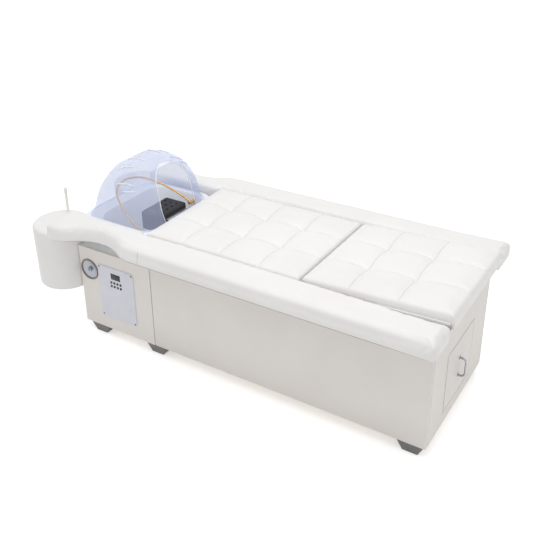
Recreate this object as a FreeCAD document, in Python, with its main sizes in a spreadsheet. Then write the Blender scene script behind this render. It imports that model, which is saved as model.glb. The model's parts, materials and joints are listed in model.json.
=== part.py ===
"""Water-circulation head spa bed: upholstered carcass, tufted cushions, basin, hood, drawer and controls.

Millimetres. +X points to the foot end, -Y is the side with the control plate, +Z is up. The origin lies on
the floor, in the middle of the part.
"""
import FreeCAD, Part
import math
import os
import re
from types import SimpleNamespace

import Sketcher

Vector = FreeCAD.Vector

# Driving sizes, in millimetres unless a name says share, angle or count.
SIZES = {
    # carcass
    "carcass_width": 632, "main_length": 1277, "cabinet_length": 412,
    "seam_gap": 2, "feet_height": 50, "carcass_height": 472, "cabinet_step": 74,
    "panel_thickness": 18, "foot_overhang": 38, "deck_thickness": 18,
    "deck_foot_overhang": 23, "deck_side_gap": 2, "batten_section": 22,
    # feet
    "foot_top_length": 110, "foot_base_length": 62, "foot_top_depth": 62, "foot_base_depth": 44,
    "foot_end_inset": 8, "foot_side_inset": 4, "foot_head_inset": 22,
    # armrests and pods
    "rail_height": 73, "rail_overhang": 114, "rail_width": 147, "rail_top_radius": 22,
    "rail_base_radius": 9, "bulge_radius": 120, "bulge_offset": 328, "bulge_past_head": 14,
    "recess_offset": 368, "recess_reach": 215, "arm_curve_radius": 140, "arm_end_reach": 52,
    "arm_inner": 262, "arm_step_length": 24, "arm_step_gap": 4,
    "pod_radius": 132, "pod_base_radius": 129, "pod_offset": 279, "pod_base_height": 223,
    "pod_edge_radius": 14, "pod_top_radius": 16,
    "armrest_bolt_radius": 6, "armrest_bolt_height": 7, "armrest_bolt_offset": 402,
    "armrest_bolt_from_seam": 157,
    # cushions
    "split_from_foot": 560, "split_gap": 7, "back_cushion_head": 32, "cushion_side_gap": 4,
    "back_thickness": 56, "cushion_crown": 9, "channel_depth": 7, "tuft_depth": 15, "row_depth": 6,
    "cushion_side_bulge": 4, "cushion_edge_drop": 15, "cushion_end_run": 16, "cushion_draw": 3,
    "tuft_columns_count": 3, "back_rows_count": 4, "leg_rows_count": 3, "soft_gap": 0.3,
    "cushion_end_share": 0.75, "cushion_shoulder_share": 0.95,
    # leg rest
    "leg_tilt_angle": 3, "leg_pivot_height": 56, "leg_pivot_inset": 6, "leg_board_lift": 12,
    "leg_board_thickness": 12, "leg_foot_gap": 7, "leg_cushion_thickness": 36, "leg_side_gap": 5.5,
    "leg_cushion_side_gap": 9.5, "pivot_pin_radius": 4, "pivot_running_gap": 0.06,
    "pivot_plate_thickness": 3, "pivot_eye_radius": 8, "pivot_plate_length": 90,
    "pivot_flange_radius": 9, "pivot_flange_thickness": 1.5, "pivot_pin_length": 7,
    "leg_stop_radius": 14, "leg_stop_tip_radius": 11, "leg_stop_from_foot": 55, "leg_stop_offset": 180,
    # drawer
    "drawer_width": 295, "drawer_front_height": 262, "drawer_front_base": 54, "drawer_gap": 3,
    "drawer_front_thickness": 16, "drawer_front_radius": 4, "drawer_depth": 420, "drawer_wall": 10,
    "drawer_box_height": 190, "drawer_box_rise": 20, "drawer_side_gap": 14, "drawer_base_thickness": 8,
    "guide_thickness": 18, "guide_height": 210, "runner_thickness": 3, "runner_leg": 22,
    "handle_radius": 4.5, "handle_reach": 27, "handle_span": 82, "handle_bend_radius": 16,
    "handle_rise": 125, "handle_rose_radius": 8, "handle_rose_thickness": 3,
    # head end
    "frame_clear": 2, "frame_arm_gap": 10, "frame_wall": 15, "rim_thickness": 14,
    "rim_overhang": 6, "rim_arm_gap": 5, "rim_corner": 95, "rim_from_cushion": 8,
    "bowl_end_room": 96, "bowl_side_room": 35, "bowl_corner": 90, "bowl_wall": 6,
    "bowl_from_rim_centre": 26, "bowl_depth": 205, "bowl_end_slope": 54,
    "bowl_side_slope": 70, "bowl_floor_corner": 60, "drain_radius": 22,
    "strainer_thickness": 3, "strainer_gap": 0.4, "strainer_hole_radius": 3, "strainer_pitch_radius": 13,
    "strainer_holes_count": 6, "drain_pipe_radius": 26, "drain_pipe_wall": 3,
    # hood
    "hood_end_inset": 9, "hood_side_inset": 9, "hood_height": 268, "hood_wall": 3,
    "hood_flange": 7, "hood_flange_thickness": 4, "hood_lean": 12, "hood_seat_gap": 0.3,
    "hood_waist_draw": 28, "hood_flare_share": 0.3,
    "hood_corner_share": 0.7, "hood_top_share": 0.98, "hood_profile_power_share": 2.15,
    "opening_base_half": 110, "opening_waist_half": 114, "opening_shoulder_half": 104,
    "opening_waist_height": 90, "opening_shoulder_height": 175, "opening_top_height": 240,
    "opening_reach": 150,
    # spray ring and neck rest
    "ring_pipe_radius": 4.5, "ring_side_room": 41, "ring_end_room": 148, "ring_apex_radius": 145,
    "ring_tilt_angle": 28.5, "ring_end_height": 25, "ring_end_from_rim": 104, "ring_boss_radius": 8,
    "ring_boss_overlap": 14,
    "neck_half_width": 95, "neck_depth": 122, "neck_height": 86, "neck_from_rim": 60,
    "neck_edge_radius": 14, "neck_hole_radius": 6, "neck_hole_depth": 9, "neck_hole_pitch": 34,
    "neck_hole_rows_count": 3, "neck_hole_columns_count": 4, "neck_top_rise": 23,
    "bracket_thickness": 3, "bracket_half_width": 72, "bracket_lip": 46,
    # circulation
    "tank_length": 180, "tank_width": 390, "tank_height": 150, "tank_edge_radius": 14,
    "tank_head_gap": 26, "tank_near_gap": 28, "cap_radius": 30, "cap_height": 18, "cap_inset": 60,
    "pump_radius": 42, "pump_height": 84, "pump_base_side": 96, "pump_base_height": 12,
    "pump_inset": 1, "supply_pipe_radius": 7, "supply_pipe_wall": 1.5, "supply_top": 46,
    "supply_hole_gap": 2, "heater_radius": 34, "heater_length": 210, "heater_inset": 66,
    "bowl_hole_gap": 12,
    # controls
    "plate_top_room": 64, "plate_shift": 6, "plate_thickness": 4, "plate_corner": 12,
    "plate_base": 66, "plate_screw_inset": 9, "screw_head_radius": 4,
    "screw_head_height": 2, "display_width": 54, "display_height": 30, "display_thickness": 3,
    "display_proud": 1, "display_from_plate_top": 42, "button_radius": 5.5, "button_length": 6,
    "button_proud": 2, "button_gap": 0.4, "button_pitch_x": 18, "button_pitch_z": 19,
    "button_row_from_display": 32, "button_columns_count": 4, "button_rows_count": 2,
    "board_side_room": 82, "board_height": 104, "board_thickness": 10, "board_gap": 2.4,
    "board_cutout_gap": 4, "standoff_radius": 4,
    "dial_plate_gap": 2, "dial_edge_gap": 5, "dial_bezel_width": 9, "dial_proud": 6, "dial_from_top": 109,
    "dial_hole_gap": 3, "dial_seat_gap": 0.3, "dial_plate_thickness": 12, "dial_dish_depth": 3,
    "dial_dish_share": 0.55, "knob_radius": 11, "knob_height": 8, "knob_stem_radius": 4,
    "knob_stem_length": 7, "knob_running_gap": 0.06, "knob_gap": 0.4, "knob_grip_width": 5,
    "knob_grip_rise": 3,
    # hand shower
    "wand_radius": 6.5, "wand_length": 124, "wand_shank": 52, "wand_head_radius": 8, "wand_head_length": 30,
    "wand_gap": 0.4, "wand_shift_x": 43, "wand_shift_y": 88, "socket_wall": 2.5, "socket_flange": 14,
    "socket_flange_height": 3, "socket_bore_gap": 0.3, "socket_base": 4,
    # every cut runs past the solid by this much
    "overrun": 5,
}

# Places that follow from the driving sizes.
PLACES = {
    "overall_length": "foot_overhang + main_length + seam_gap + cabinet_length + soft_gap + 2 * pod_radius",
    "half_width": "carcass_width / 2",
    "inner_width": "half_width - panel_thickness",
    "foot_face": "overall_length / 2 - foot_overhang",
    "rail_foot": "overall_length / 2",
    "seam": "foot_face - main_length",
    "cabinet_foot": "seam - seam_gap",
    "head_face": "cabinet_foot - cabinet_length",
    "head_inner": "head_face + panel_thickness",
    "floor_board_top": "feet_height + panel_thickness",
    "rail_bottom": "feet_height + carcass_height",
    "rail_outer": "half_width + rail_overhang",
    "rail_inner": "rail_outer - rail_width",
    "cabinet_height": "carcass_height - cabinet_step",
    "cabinet_top": "feet_height + cabinet_height",
    "frame_height": "cabinet_step + deck_thickness - frame_clear",
    "deck_top": "rail_bottom + deck_thickness",
    "pod_x": "head_face - soft_gap - pod_radius",
    "pod_top": "rail_bottom - soft_gap",
    "bulge_x": "head_face - bulge_past_head",
    "arm_end_x": "head_face - arm_end_reach",
    "split": "foot_face - split_from_foot",
    "cushion_head": "seam - back_cushion_head",
    "frame_top": "cabinet_top + frame_height",
    "rim_top": "frame_top + rim_thickness",
    "rim_foot": "cushion_head - rim_from_cushion",
    "frame_half_width": "arm_inner - frame_arm_gap",
    "rim_half_width": "arm_inner - rim_arm_gap",
    "bowl_half_width": "rim_half_width - bowl_side_room",
    "bowl_floor_half_width": "bowl_half_width - bowl_side_slope",
    "hood_half_width": "rim_half_width - hood_side_inset",
    "ring_half_width": "bowl_half_width - ring_side_room",
    "pump_offset": "bowl_half_width - pump_inset",
    "rim_half_length": "cabinet_length / 2 + rim_overhang",
    "rim_x": "rim_foot - rim_half_length",
    "bowl_half_length": "(cabinet_length - bowl_end_room) / 2",
    "bowl_floor_half_length": "bowl_half_length - bowl_end_slope",
    "hood_half_length": "rim_half_length - hood_end_inset",
    "ring_depth": "2 * rim_half_length - ring_end_room",
    "bowl_x": "rim_x + bowl_from_rim_centre",
    "bowl_bottom": "rim_top - bowl_depth",
    "pivot_x": "split + leg_pivot_inset",
    "pivot_z": "rail_bottom + leg_pivot_height",
    "drawer_base": "feet_height + drawer_front_base",
    "drawer_front_back": "foot_face - drawer_front_thickness",
    "box_half": "drawer_width / 2 - drawer_side_gap",
    "box_base": "drawer_base + drawer_box_rise",
    "guide_inner": "box_half + runner_thickness + drawer_gap",
    "handle_z": "drawer_base + handle_rise",
    "plate_width": "cabinet_length / 2",
    "plate_height": "cabinet_height - plate_base - plate_top_room",
    "board_width": "plate_width - board_side_room",
    "plate_foot": "seam - (cabinet_length - plate_width) / 2 + plate_shift",
    "plate_x": "plate_foot - plate_width / 2",
    "plate_low": "feet_height + plate_base",
    "plate_face": "half_width + plate_thickness",
    "display_z": "plate_low + plate_height - display_from_plate_top",
    "button_z": "display_z - button_row_from_display",
    "board_z": "(display_z + button_z) / 2 - button_pitch_z / 2",
    "dial_room": "plate_foot - plate_width - head_face",
    "dial_radius": "(dial_room - dial_plate_gap - dial_edge_gap) / 2",
    "dial_x": "head_face + dial_edge_gap + dial_radius",
    "dial_z": "cabinet_top - dial_from_top",
    "wand_x": "pod_x - wand_shift_x",
    "wand_y": "wand_shift_y - pod_offset",
    "tank_head": "head_inner + tank_head_gap",
    "tank_near": "tank_near_gap - inner_width",
    "tank_top": "floor_board_top + tank_height",
    "ring_x": "rim_foot - ring_end_from_rim",
    "ring_z": "rim_top - ring_end_height",
    "neck_foot": "rim_foot - neck_from_rim",
    "neck_top": "rim_top + neck_top_rise",
    "neck_bottom": "neck_top - neck_height",
}

# Levels of the hood's sections, as shares of its height.
HOOD_LEVEL_SHARES = (0, 0.1, 0.2, 0.35, 0.55, 0.75, 0.9)

doc = FreeCAD.newDocument("head_spa_bed")
nodes = {}


def write_sheet(name, rows):
    """Fill a spreadsheet with one row for each alias."""
    sheet = doc.addObject("Spreadsheet::Sheet", name)
    for number, (alias, text) in enumerate(rows.items(), start=1):
        sheet.set(f"A{number}", alias)
        sheet.set(f"B{number}", text)
        sheet.setAlias(f"B{number}", alias)
    doc.recompute()
    return {alias: float(sheet.get(alias)) for alias in rows}


def full(text):
    """Write each alias in a formula with the name of its sheet."""
    def named(match):
        word = match.group(0)
        if word in SIZES:
            return "Sizes." + word
        return "Places." + word if word in PLACES else word
    return re.sub(r"[a-z][a-z_]*", named, text)


values = write_sheet("Sizes", {alias: str(number) for alias, number in SIZES.items()})
values.update(write_sheet("Places", {alias: "=" + full(text) for alias, text in PLACES.items()}))
v = SimpleNamespace(**values)


def keep(label, item):
    """Name a finished sub-part."""
    item.Label = label
    nodes[label] = item
    return item


def place(item, x, y, z):
    """Bind an object's position to three formulas."""
    for axis, text in zip("xyz", (x, y, z)):
        item.setExpression(f"Placement.Base.{axis}", full(text))
    return item


def board(name, x, y, z):
    """A box between a low and a high formula on each axis."""
    box = doc.addObject("Part::Box", name)
    for size, (low, high) in zip(("Length", "Width", "Height"), (x, y, z)):
        box.setExpression(size, full(f"({high}) - ({low})"))
    return place(box, x[0], y[0], z[0])


def post(name, radius, x, y, z):
    """An upright cylinder between two heights."""
    rod = doc.addObject("Part::Cylinder", name)
    rod.setExpression("Radius", full(radius))
    rod.setExpression("Height", full(f"({z[1]}) - ({z[0]})"))
    return place(rod, x, y, z[0])


def crossbar(name, radius, x, y, z):
    """A cylinder along Y between two formulas."""
    rod = doc.addObject("Part::Cylinder", name)
    rod.Placement.Rotation = FreeCAD.Rotation(Vector(1, 0, 0), -90)
    rod.setExpression("Radius", full(radius))
    rod.setExpression("Height", full(f"({y[1]}) - ({y[0]})"))
    return place(rod, x, y[0], z)


def on_side(side, inner, outer):
    """A pair of formulas across Y for the far side, or mirrored for the near side."""
    return (inner, outer) if side > 0 else (f"-({outer})", f"-({inner})")


def cut(name, base, *tools):
    """Take the tools away from a solid."""
    for number, tool in enumerate(tools, start=1):
        result = doc.addObject("Part::Cut", name if number == len(tools) else f"{name}_cut_{number}")
        result.Base = base
        result.Tool = tool
        base = result
    return base


def fuse(name, *pieces):
    """Join solids into one."""
    result = doc.addObject("Part::MultiFuse", name)
    result.Shapes = list(pieces)
    result.Refine = True
    return result


def group(name, pieces):
    """Keep several like solids in one sub-part."""
    result = doc.addObject("Part::Compound", name)
    result.Links = list(pieces)
    return result


def solid(name, shape):
    """A sub-part whose shape is worked out here."""
    item = doc.addObject("Part::Feature", name)
    item.Shape = shape
    return item


def new_body(name):
    """A design body for one piece."""
    return doc.addObject("PartDesign::Body", name)


def new_sketch(body, name, plane):
    """A sketch on one of the body's own origin planes."""
    item = body.newObject("Sketcher::SketchObject", name)
    support = next(f for f in body.Origin.OriginFeatures if f.Role == plane)
    item.AttachmentSupport = (support, [""])
    item.MapMode = "FlatFace"
    return item


def draw_polygon(sketch, points):
    """Closed straight outline through the points."""
    corners = [Vector(x, y, 0) for x, y in points]
    first = sketch.GeometryCount
    for start, end in zip(corners, corners[1:] + corners[:1]):
        sketch.addGeometry(Part.LineSegment(start, end), False)
    for number in range(len(corners)):
        following = (number + 1) % len(corners)
        sketch.addConstraint(Sketcher.Constraint("Coincident", first + number, 2, first + following, 1))


def draw_edges(sketch, curves):
    """Closed outline of lines and arcs, given in order and in one sense."""
    for curve in curves:
        sketch.addGeometry(curve, False)


def draw_circle(sketch, x, y, radius):
    """One full circle."""
    sketch.addGeometry(Part.Circle(Vector(x, y, 0), Vector(0, 0, 1), radius), False)


def pad(body, sketch, length, name="pad"):
    """Pad a sketch by a formula."""
    item = body.newObject("PartDesign::Pad", name)
    item.Profile = sketch
    item.setExpression("Length", full(length))
    doc.recompute()
    return item


def pocket(body, sketch, depth, name, upward=False):
    """Cut a sketch into the body by a formula, down from the sketch or up from it."""
    item = body.newObject("PartDesign::Pocket", name)
    item.Profile = sketch
    item.Reversed = upward
    item.setExpression("Length", full(depth))
    doc.recompute()
    return item


def revolve(body, sketch, name="turning"):
    """Turn a sketch on the XZ plane about the body's Z axis."""
    item = body.newObject("PartDesign::Revolution", name)
    item.Profile = sketch
    item.ReferenceAxis = (sketch, ["V_Axis"])
    item.Angle = 360
    doc.recompute()
    return item


def round_edges(body, feature, chosen, radius, name="rounding"):
    """Fillet the edges of the last feature that a test picks out."""
    picked = [f"Edge{n}" for n, edge in enumerate(feature.Shape.Edges, start=1) if chosen(edge)]
    item = body.newObject("PartDesign::Fillet", name)
    item.Base = (feature, picked)
    item.setExpression("Radius", full(radius))
    doc.recompute()
    return item


def at_height(level):
    """Edges that lie flat at one height."""
    return lambda edge: abs(edge.BoundBox.ZMin - level) + abs(edge.BoundBox.ZMax - level) < v.soft_gap


def above_base(edge):
    """Edges that don't lie on the base plane."""
    return edge.BoundBox.ZMax > v.soft_gap


def upright(edge):
    """Edges along Z."""
    box = edge.BoundBox
    return box.ZLength > v.soft_gap and box.XLength + box.YLength < v.soft_gap


def turned(name, profile):
    """A body of revolution about Z through (radius, height) points."""
    body = new_body(name)
    sketch = new_sketch(body, name + "_profile", "XZ_Plane")
    draw_polygon(sketch, profile)
    revolve(body, sketch, name + "_turning")
    return body


def plate(name, width, height, depth, corner):
    """A rounded plate in its own XY plane, low corner at its origin."""
    body = new_body(name)
    sketch = new_sketch(body, name + "_outline", "XY_Plane")
    draw_polygon(sketch, [(0, 0), (values[width], 0), (values[width], values[height]), (0, values[height])])
    blank = pad(body, sketch, depth, name + "_pad")
    round_edges(body, blank, upright, corner, name + "_corners")
    return body


def facing(item, normal_sign):
    """Stand a plate or a turned piece up so that its Z axis points along Y."""
    item.Placement.Rotation = FreeCAD.Rotation(Vector(1, 0, 0), -90 * normal_sign)
    return item


def rounded_wire(x, z, half_x, half_y, corner):
    """A rounded rectangle about (x, 0) at one height."""
    edges = []
    for turn, (sx, sy) in enumerate(((1, 1), (-1, 1), (-1, -1), (1, -1))):
        centre = Vector(x + sx * (half_x - corner), sy * (half_y - corner), z)
        angles = [math.radians(90 * turn + part * 45) for part in range(3)]
        arc = [centre + Vector(math.cos(a), math.sin(a), 0) * corner for a in angles]
        edges.append(Part.Arc(*arc).toShape())
    joined = []
    for number, edge in enumerate(edges):
        following = edges[(number + 1) % len(edges)]
        joined.append(edge)
        joined.append(Part.LineSegment(edge.valueAt(edge.LastParameter),
                                       following.valueAt(following.FirstParameter)).toShape())
    return Part.Wire(joined)


def build_carcass():
    """Panels, base board, deck and battens of the upholstered box."""
    span = ("seam", "foot_face")
    tall = ("feet_height", "rail_bottom")
    for name, y in (("near_side_panel", ("-half_width", "-inner_width")),
                    ("far_side_panel", ("inner_width", "half_width"))):
        keep(name, board(name, span, y, tall))
    blank = board("foot_panel_blank", ("foot_face - panel_thickness", "foot_face"),
                  ("-inner_width", "inner_width"), tall)
    opening = board("drawer_opening", ("foot_face - panel_thickness - overrun", "foot_face + overrun"),
                    ("-drawer_width / 2 - drawer_gap", "drawer_width / 2 + drawer_gap"),
                    ("drawer_base - drawer_gap", "drawer_base + drawer_front_height + drawer_gap"))
    keep("foot_panel", cut("foot_panel", blank, opening))
    keep("base_board", board("base_board", ("head_inner", "foot_face - panel_thickness"),
                             ("-inner_width", "inner_width"), ("feet_height", "floor_board_top")))
    keep("bulkhead", board("bulkhead", ("seam", "seam + panel_thickness"),
                           ("-inner_width", "inner_width"), ("floor_board_top", "rail_bottom")))
    keep("deck_board", board("deck_board", ("seam", "foot_face + deck_foot_overhang"),
                             ("-rail_inner + deck_side_gap", "rail_inner - deck_side_gap"),
                             ("rail_bottom", "deck_top")))
    battens = []
    for side, y in (("near", ("-inner_width", "-inner_width + batten_section")),
                    ("far", ("inner_width - batten_section", "inner_width"))):
        battens.append(board(f"batten_{side}", ("seam + panel_thickness", "foot_face - panel_thickness"), y,
                             ("rail_bottom - batten_section", "rail_bottom")))
    keep("deck_battens", group("deck_battens", battens))


def build_cabinet():
    """Head cabinet: pierced near panel, far and head panels, top board and the basin's frame."""
    span = ("head_face", "cabinet_foot")
    tall = ("feet_height", "cabinet_top")
    near = board("cabinet_near_blank", span, ("-half_width", "-inner_width"), tall)
    board_hole = board("board_cutout",
                       ("plate_x - board_width / 2 - board_cutout_gap",
                        "plate_x + board_width / 2 + board_cutout_gap"),
                       ("-half_width - overrun", "-inner_width + overrun"),
                       ("board_z - board_height / 2 - board_cutout_gap",
                        "board_z + board_height / 2 + board_cutout_gap"))
    dial_hole = crossbar("dial_cutout", "dial_radius - dial_hole_gap", "dial_x",
                         ("-half_width - overrun", "-inner_width + overrun"), "dial_z")
    keep("cabinet_near_panel", cut("cabinet_near_panel", near, board_hole, dial_hole))
    keep("cabinet_far_panel", board("cabinet_far_panel", span, ("inner_width", "half_width"), tall))
    keep("cabinet_head_panel", board("cabinet_head_panel", ("head_face", "head_inner"),
                                     ("-inner_width", "inner_width"), tall))
    top = board("cabinet_top_blank", ("head_inner", "cabinet_foot"), ("-inner_width", "inner_width"),
                ("cabinet_top - panel_thickness", "cabinet_top"))
    through = ("cabinet_top - panel_thickness - overrun", "cabinet_top + overrun")
    bowl_hole = board("bowl_cutout",
                      ("bowl_x - bowl_half_length + bowl_hole_gap", "bowl_x + bowl_half_length - bowl_hole_gap"),
                      ("-bowl_half_width + bowl_hole_gap", "bowl_half_width - bowl_hole_gap"), through)
    pipe_hole = post("supply_cutout", "supply_pipe_radius + supply_hole_gap", "ring_x", "pump_offset", through)
    keep("cabinet_top_board", cut("cabinet_top_board", top, bowl_hole, pipe_hole))
    walls = board("basin_frame_blank", span, ("-frame_half_width", "frame_half_width"),
                  ("cabinet_top", "frame_top"))
    hollow = board("basin_frame_hollow", ("head_face + frame_wall", "cabinet_foot - frame_wall"),
                   ("-frame_half_width + frame_wall", "frame_half_width - frame_wall"),
                   ("cabinet_top - overrun", "frame_top + overrun"))
    keep("basin_frame", cut("basin_frame", walls, hollow))


def build_feet():
    """Six tapered feet under the side panels."""
    middles = (v.head_face + v.foot_head_inset + v.foot_top_length / 2, v.seam,
               v.foot_face - v.foot_end_inset - v.foot_top_length / 2)
    row = v.half_width - v.foot_side_inset - v.foot_top_depth / 2
    feet = []
    for number, (x, side) in enumerate(((x, side) for x in middles for side in (-1, 1)), start=1):
        outlines = []
        for z, length, depth in ((0, v.foot_base_length, v.foot_base_depth),
                                 (v.feet_height, v.foot_top_length, v.foot_top_depth)):
            corners = [Vector(x + sx * length / 2, side * row + sy * depth / 2, z)
                       for sx, sy in ((-1, -1), (1, -1), (1, 1), (-1, 1))]
            outlines.append(Part.makePolygon(corners + corners[:1]))
        feet.append(solid(f"foot_{number}", Part.makeLoft(outlines, True, True)))
    keep("feet", group("feet", feet))


def armrest_outline(side):
    """Plan of one armrest: straight rail, S-curved recess, and a bulge that ends over the round pod."""
    bulge = Vector(v.bulge_x, v.bulge_offset, 0)
    recess_x = v.bulge_x + v.recess_reach
    rise = v.bulge_offset - v.recess_offset
    # the hollow touches the recess line and the bulge
    hollow_radius = (v.recess_reach ** 2 + rise ** 2 - v.bulge_radius ** 2) / (2 * (v.bulge_radius + rise))
    hollow = Vector(recess_x, v.recess_offset + hollow_radius, 0)
    # the shoulder touches the rail's outer edge and the hollow
    shoulder_y = v.rail_outer - v.arm_curve_radius
    reach = v.arm_curve_radius + hollow_radius
    shoulder = Vector(recess_x + math.sqrt(reach ** 2 - (hollow.y - shoulder_y) ** 2), shoulder_y, 0)

    def toward(start, target, distance):
        return start + (target - start).normalize() * distance

    def on_circle(centre, radius, x):
        return Vector(x, centre.y + math.sqrt(radius ** 2 - (x - centre.x) ** 2), 0)

    meet_shoulder = toward(shoulder, hollow, v.arm_curve_radius)
    meet_bulge = toward(bulge, hollow, v.bulge_radius)
    start_arc = Vector(shoulder.x, v.rail_outer, 0)
    mid_shoulder = toward(shoulder, (start_arc + meet_shoulder) * 0.5, v.arm_curve_radius)
    lowest = Vector(recess_x, v.recess_offset, 0)
    crest = Vector(v.bulge_x, v.bulge_offset + v.bulge_radius, 0)
    horn = on_circle(bulge, v.bulge_radius, v.arm_end_x)
    step = v.cushion_head - v.arm_step_gap
    inner_end = Vector(v.arm_end_x, v.arm_inner, 0)
    arm_stop = Vector(step - v.arm_step_length, v.arm_inner, 0)
    rail_start = Vector(step, v.rail_inner, 0)
    foot_inner = Vector(v.rail_foot, v.rail_inner, 0)
    foot_outer = Vector(v.rail_foot, v.rail_outer, 0)

    def mirror(point):
        return Vector(point.x, side * point.y, 0)

    def line(start, end):
        return Part.LineSegment(mirror(start), mirror(end))

    def arc(start, middle, end):
        return Part.Arc(mirror(start), mirror(middle), mirror(end))

    return [line(foot_inner, foot_outer), line(foot_outer, start_arc),
            arc(start_arc, mid_shoulder, meet_shoulder), arc(meet_shoulder, lowest, meet_bulge),
            arc(meet_bulge, crest, horn), line(horn, inner_end), line(inner_end, arm_stop),
            line(arm_stop, rail_start), line(rail_start, foot_inner)]


def build_armrests():
    """Padded armrests, the round pods at their head ends and the bolts below the rails."""
    bolts = []
    for name, side in (("near", -1), ("far", 1)):
        sign = "-" if side < 0 else ""
        body = new_body(f"{name}_armrest")
        sketch = new_sketch(body, f"{name}_armrest_plan", "XY_Plane")
        draw_edges(sketch, armrest_outline(side))
        blank = pad(body, sketch, "rail_height", f"{name}_armrest_height")
        top = round_edges(body, blank, at_height(v.rail_height), "rail_top_radius", f"{name}_armrest_top")
        round_edges(body, top, at_height(0), "rail_base_radius", f"{name}_armrest_base")
        keep(f"{name}_armrest", place(body, "0", "0", "rail_bottom"))

        tall = v.pod_top - v.pod_base_height
        pod = turned(f"{name}_pod_bucket", [(0, 0), (v.pod_base_radius, 0), (v.pod_radius, tall), (0, tall)])
        edge = round_edges(pod, pod.Tip, at_height(tall), "pod_top_radius", f"{name}_pod_top")
        round_edges(pod, edge, at_height(0), "pod_edge_radius", f"{name}_pod_edge")
        place(pod, "pod_x", f"{sign}pod_offset", "pod_base_height")
        if side < 0:
            bore = post("wand_bore", "wand_radius + wand_gap + socket_wall + socket_bore_gap", "wand_x", "wand_y",
                        ("pod_top - wand_shank - socket_base - socket_bore_gap", "pod_top + overrun"))
            pod = cut("near_pod", pod, bore)
        keep(f"{name}_pod", pod)

        bolt = post(f"{name}_armrest_bolt", "armrest_bolt_radius", "seam + armrest_bolt_from_seam",
                    f"{sign}armrest_bolt_offset", ("rail_bottom - armrest_bolt_height", "rail_bottom"))
        bolts.append(bolt)
    keep("armrest_bolts", group("armrest_bolts", bolts))


def cushion_shape(head, foot, half_width, base, thickness, rows):
    """Biscuit-tufted cushion, lofted along X: flat base, drawn-in sides, crowned squares between tufts."""
    columns = round(v.tuft_columns_count)
    length = foot - head
    block = length / rows

    def section(x, height_share, peak, dip):
        inset = v.cushion_draw * math.sin(math.pi * (x - head) / length)
        wide = half_width - inset - v.cushion_side_bulge
        side = (thickness - v.cushion_edge_drop) * height_share
        heights = [side] + [(thickness - dip) * height_share] * (columns - 1) + [side]
        knots = [Vector(x, -wide + 2 * wide * n / columns, base + heights[n]) for n in range(columns + 1)]
        edges = [Part.LineSegment(Vector(x, wide, base), Vector(x, -wide, base)).toShape()]
        near_mid = Vector(x, -wide - v.cushion_side_bulge, base + side / 2)
        edges.append(Part.Arc(Vector(x, -wide, base), near_mid, knots[0]).toShape())
        for start, end in zip(knots, knots[1:]):
            middle = Vector(x, (start.y + end.y) / 2, base + (thickness + peak) * height_share)
            edges.append(Part.Arc(start, middle, end).toShape())
        far_mid = Vector(x, wide + v.cushion_side_bulge, base + side / 2)
        edges.append(Part.Arc(knots[-1], far_mid, Vector(x, wide, base)).toShape())
        return Part.Wire(edges)

    sections = [section(head, v.cushion_end_share, 0, v.channel_depth),
                section(head + v.cushion_end_run, v.cushion_shoulder_share, 0, v.channel_depth)]
    for row in range(rows):
        sections.append(section(head + (row + 0.5) * block, 1, v.cushion_crown, v.channel_depth))
        if row < rows - 1:
            sections.append(section(head + (row + 1) * block, 1, -v.row_depth, v.tuft_depth))
    sections.append(section(foot - v.cushion_end_run, v.cushion_shoulder_share, 0, v.channel_depth))
    sections.append(section(foot, v.cushion_end_share, 0, v.channel_depth))
    return Part.makeLoft(sections, True, False)


def build_back_cushion():
    """The fixed cushion between the armrests."""
    shape = cushion_shape(v.cushion_head, v.split - v.split_gap / 2, v.rail_inner - v.cushion_side_gap,
                          v.deck_top + v.soft_gap, v.back_thickness, round(v.back_rows_count))
    keep("back_cushion", solid("back_cushion", shape))


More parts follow.
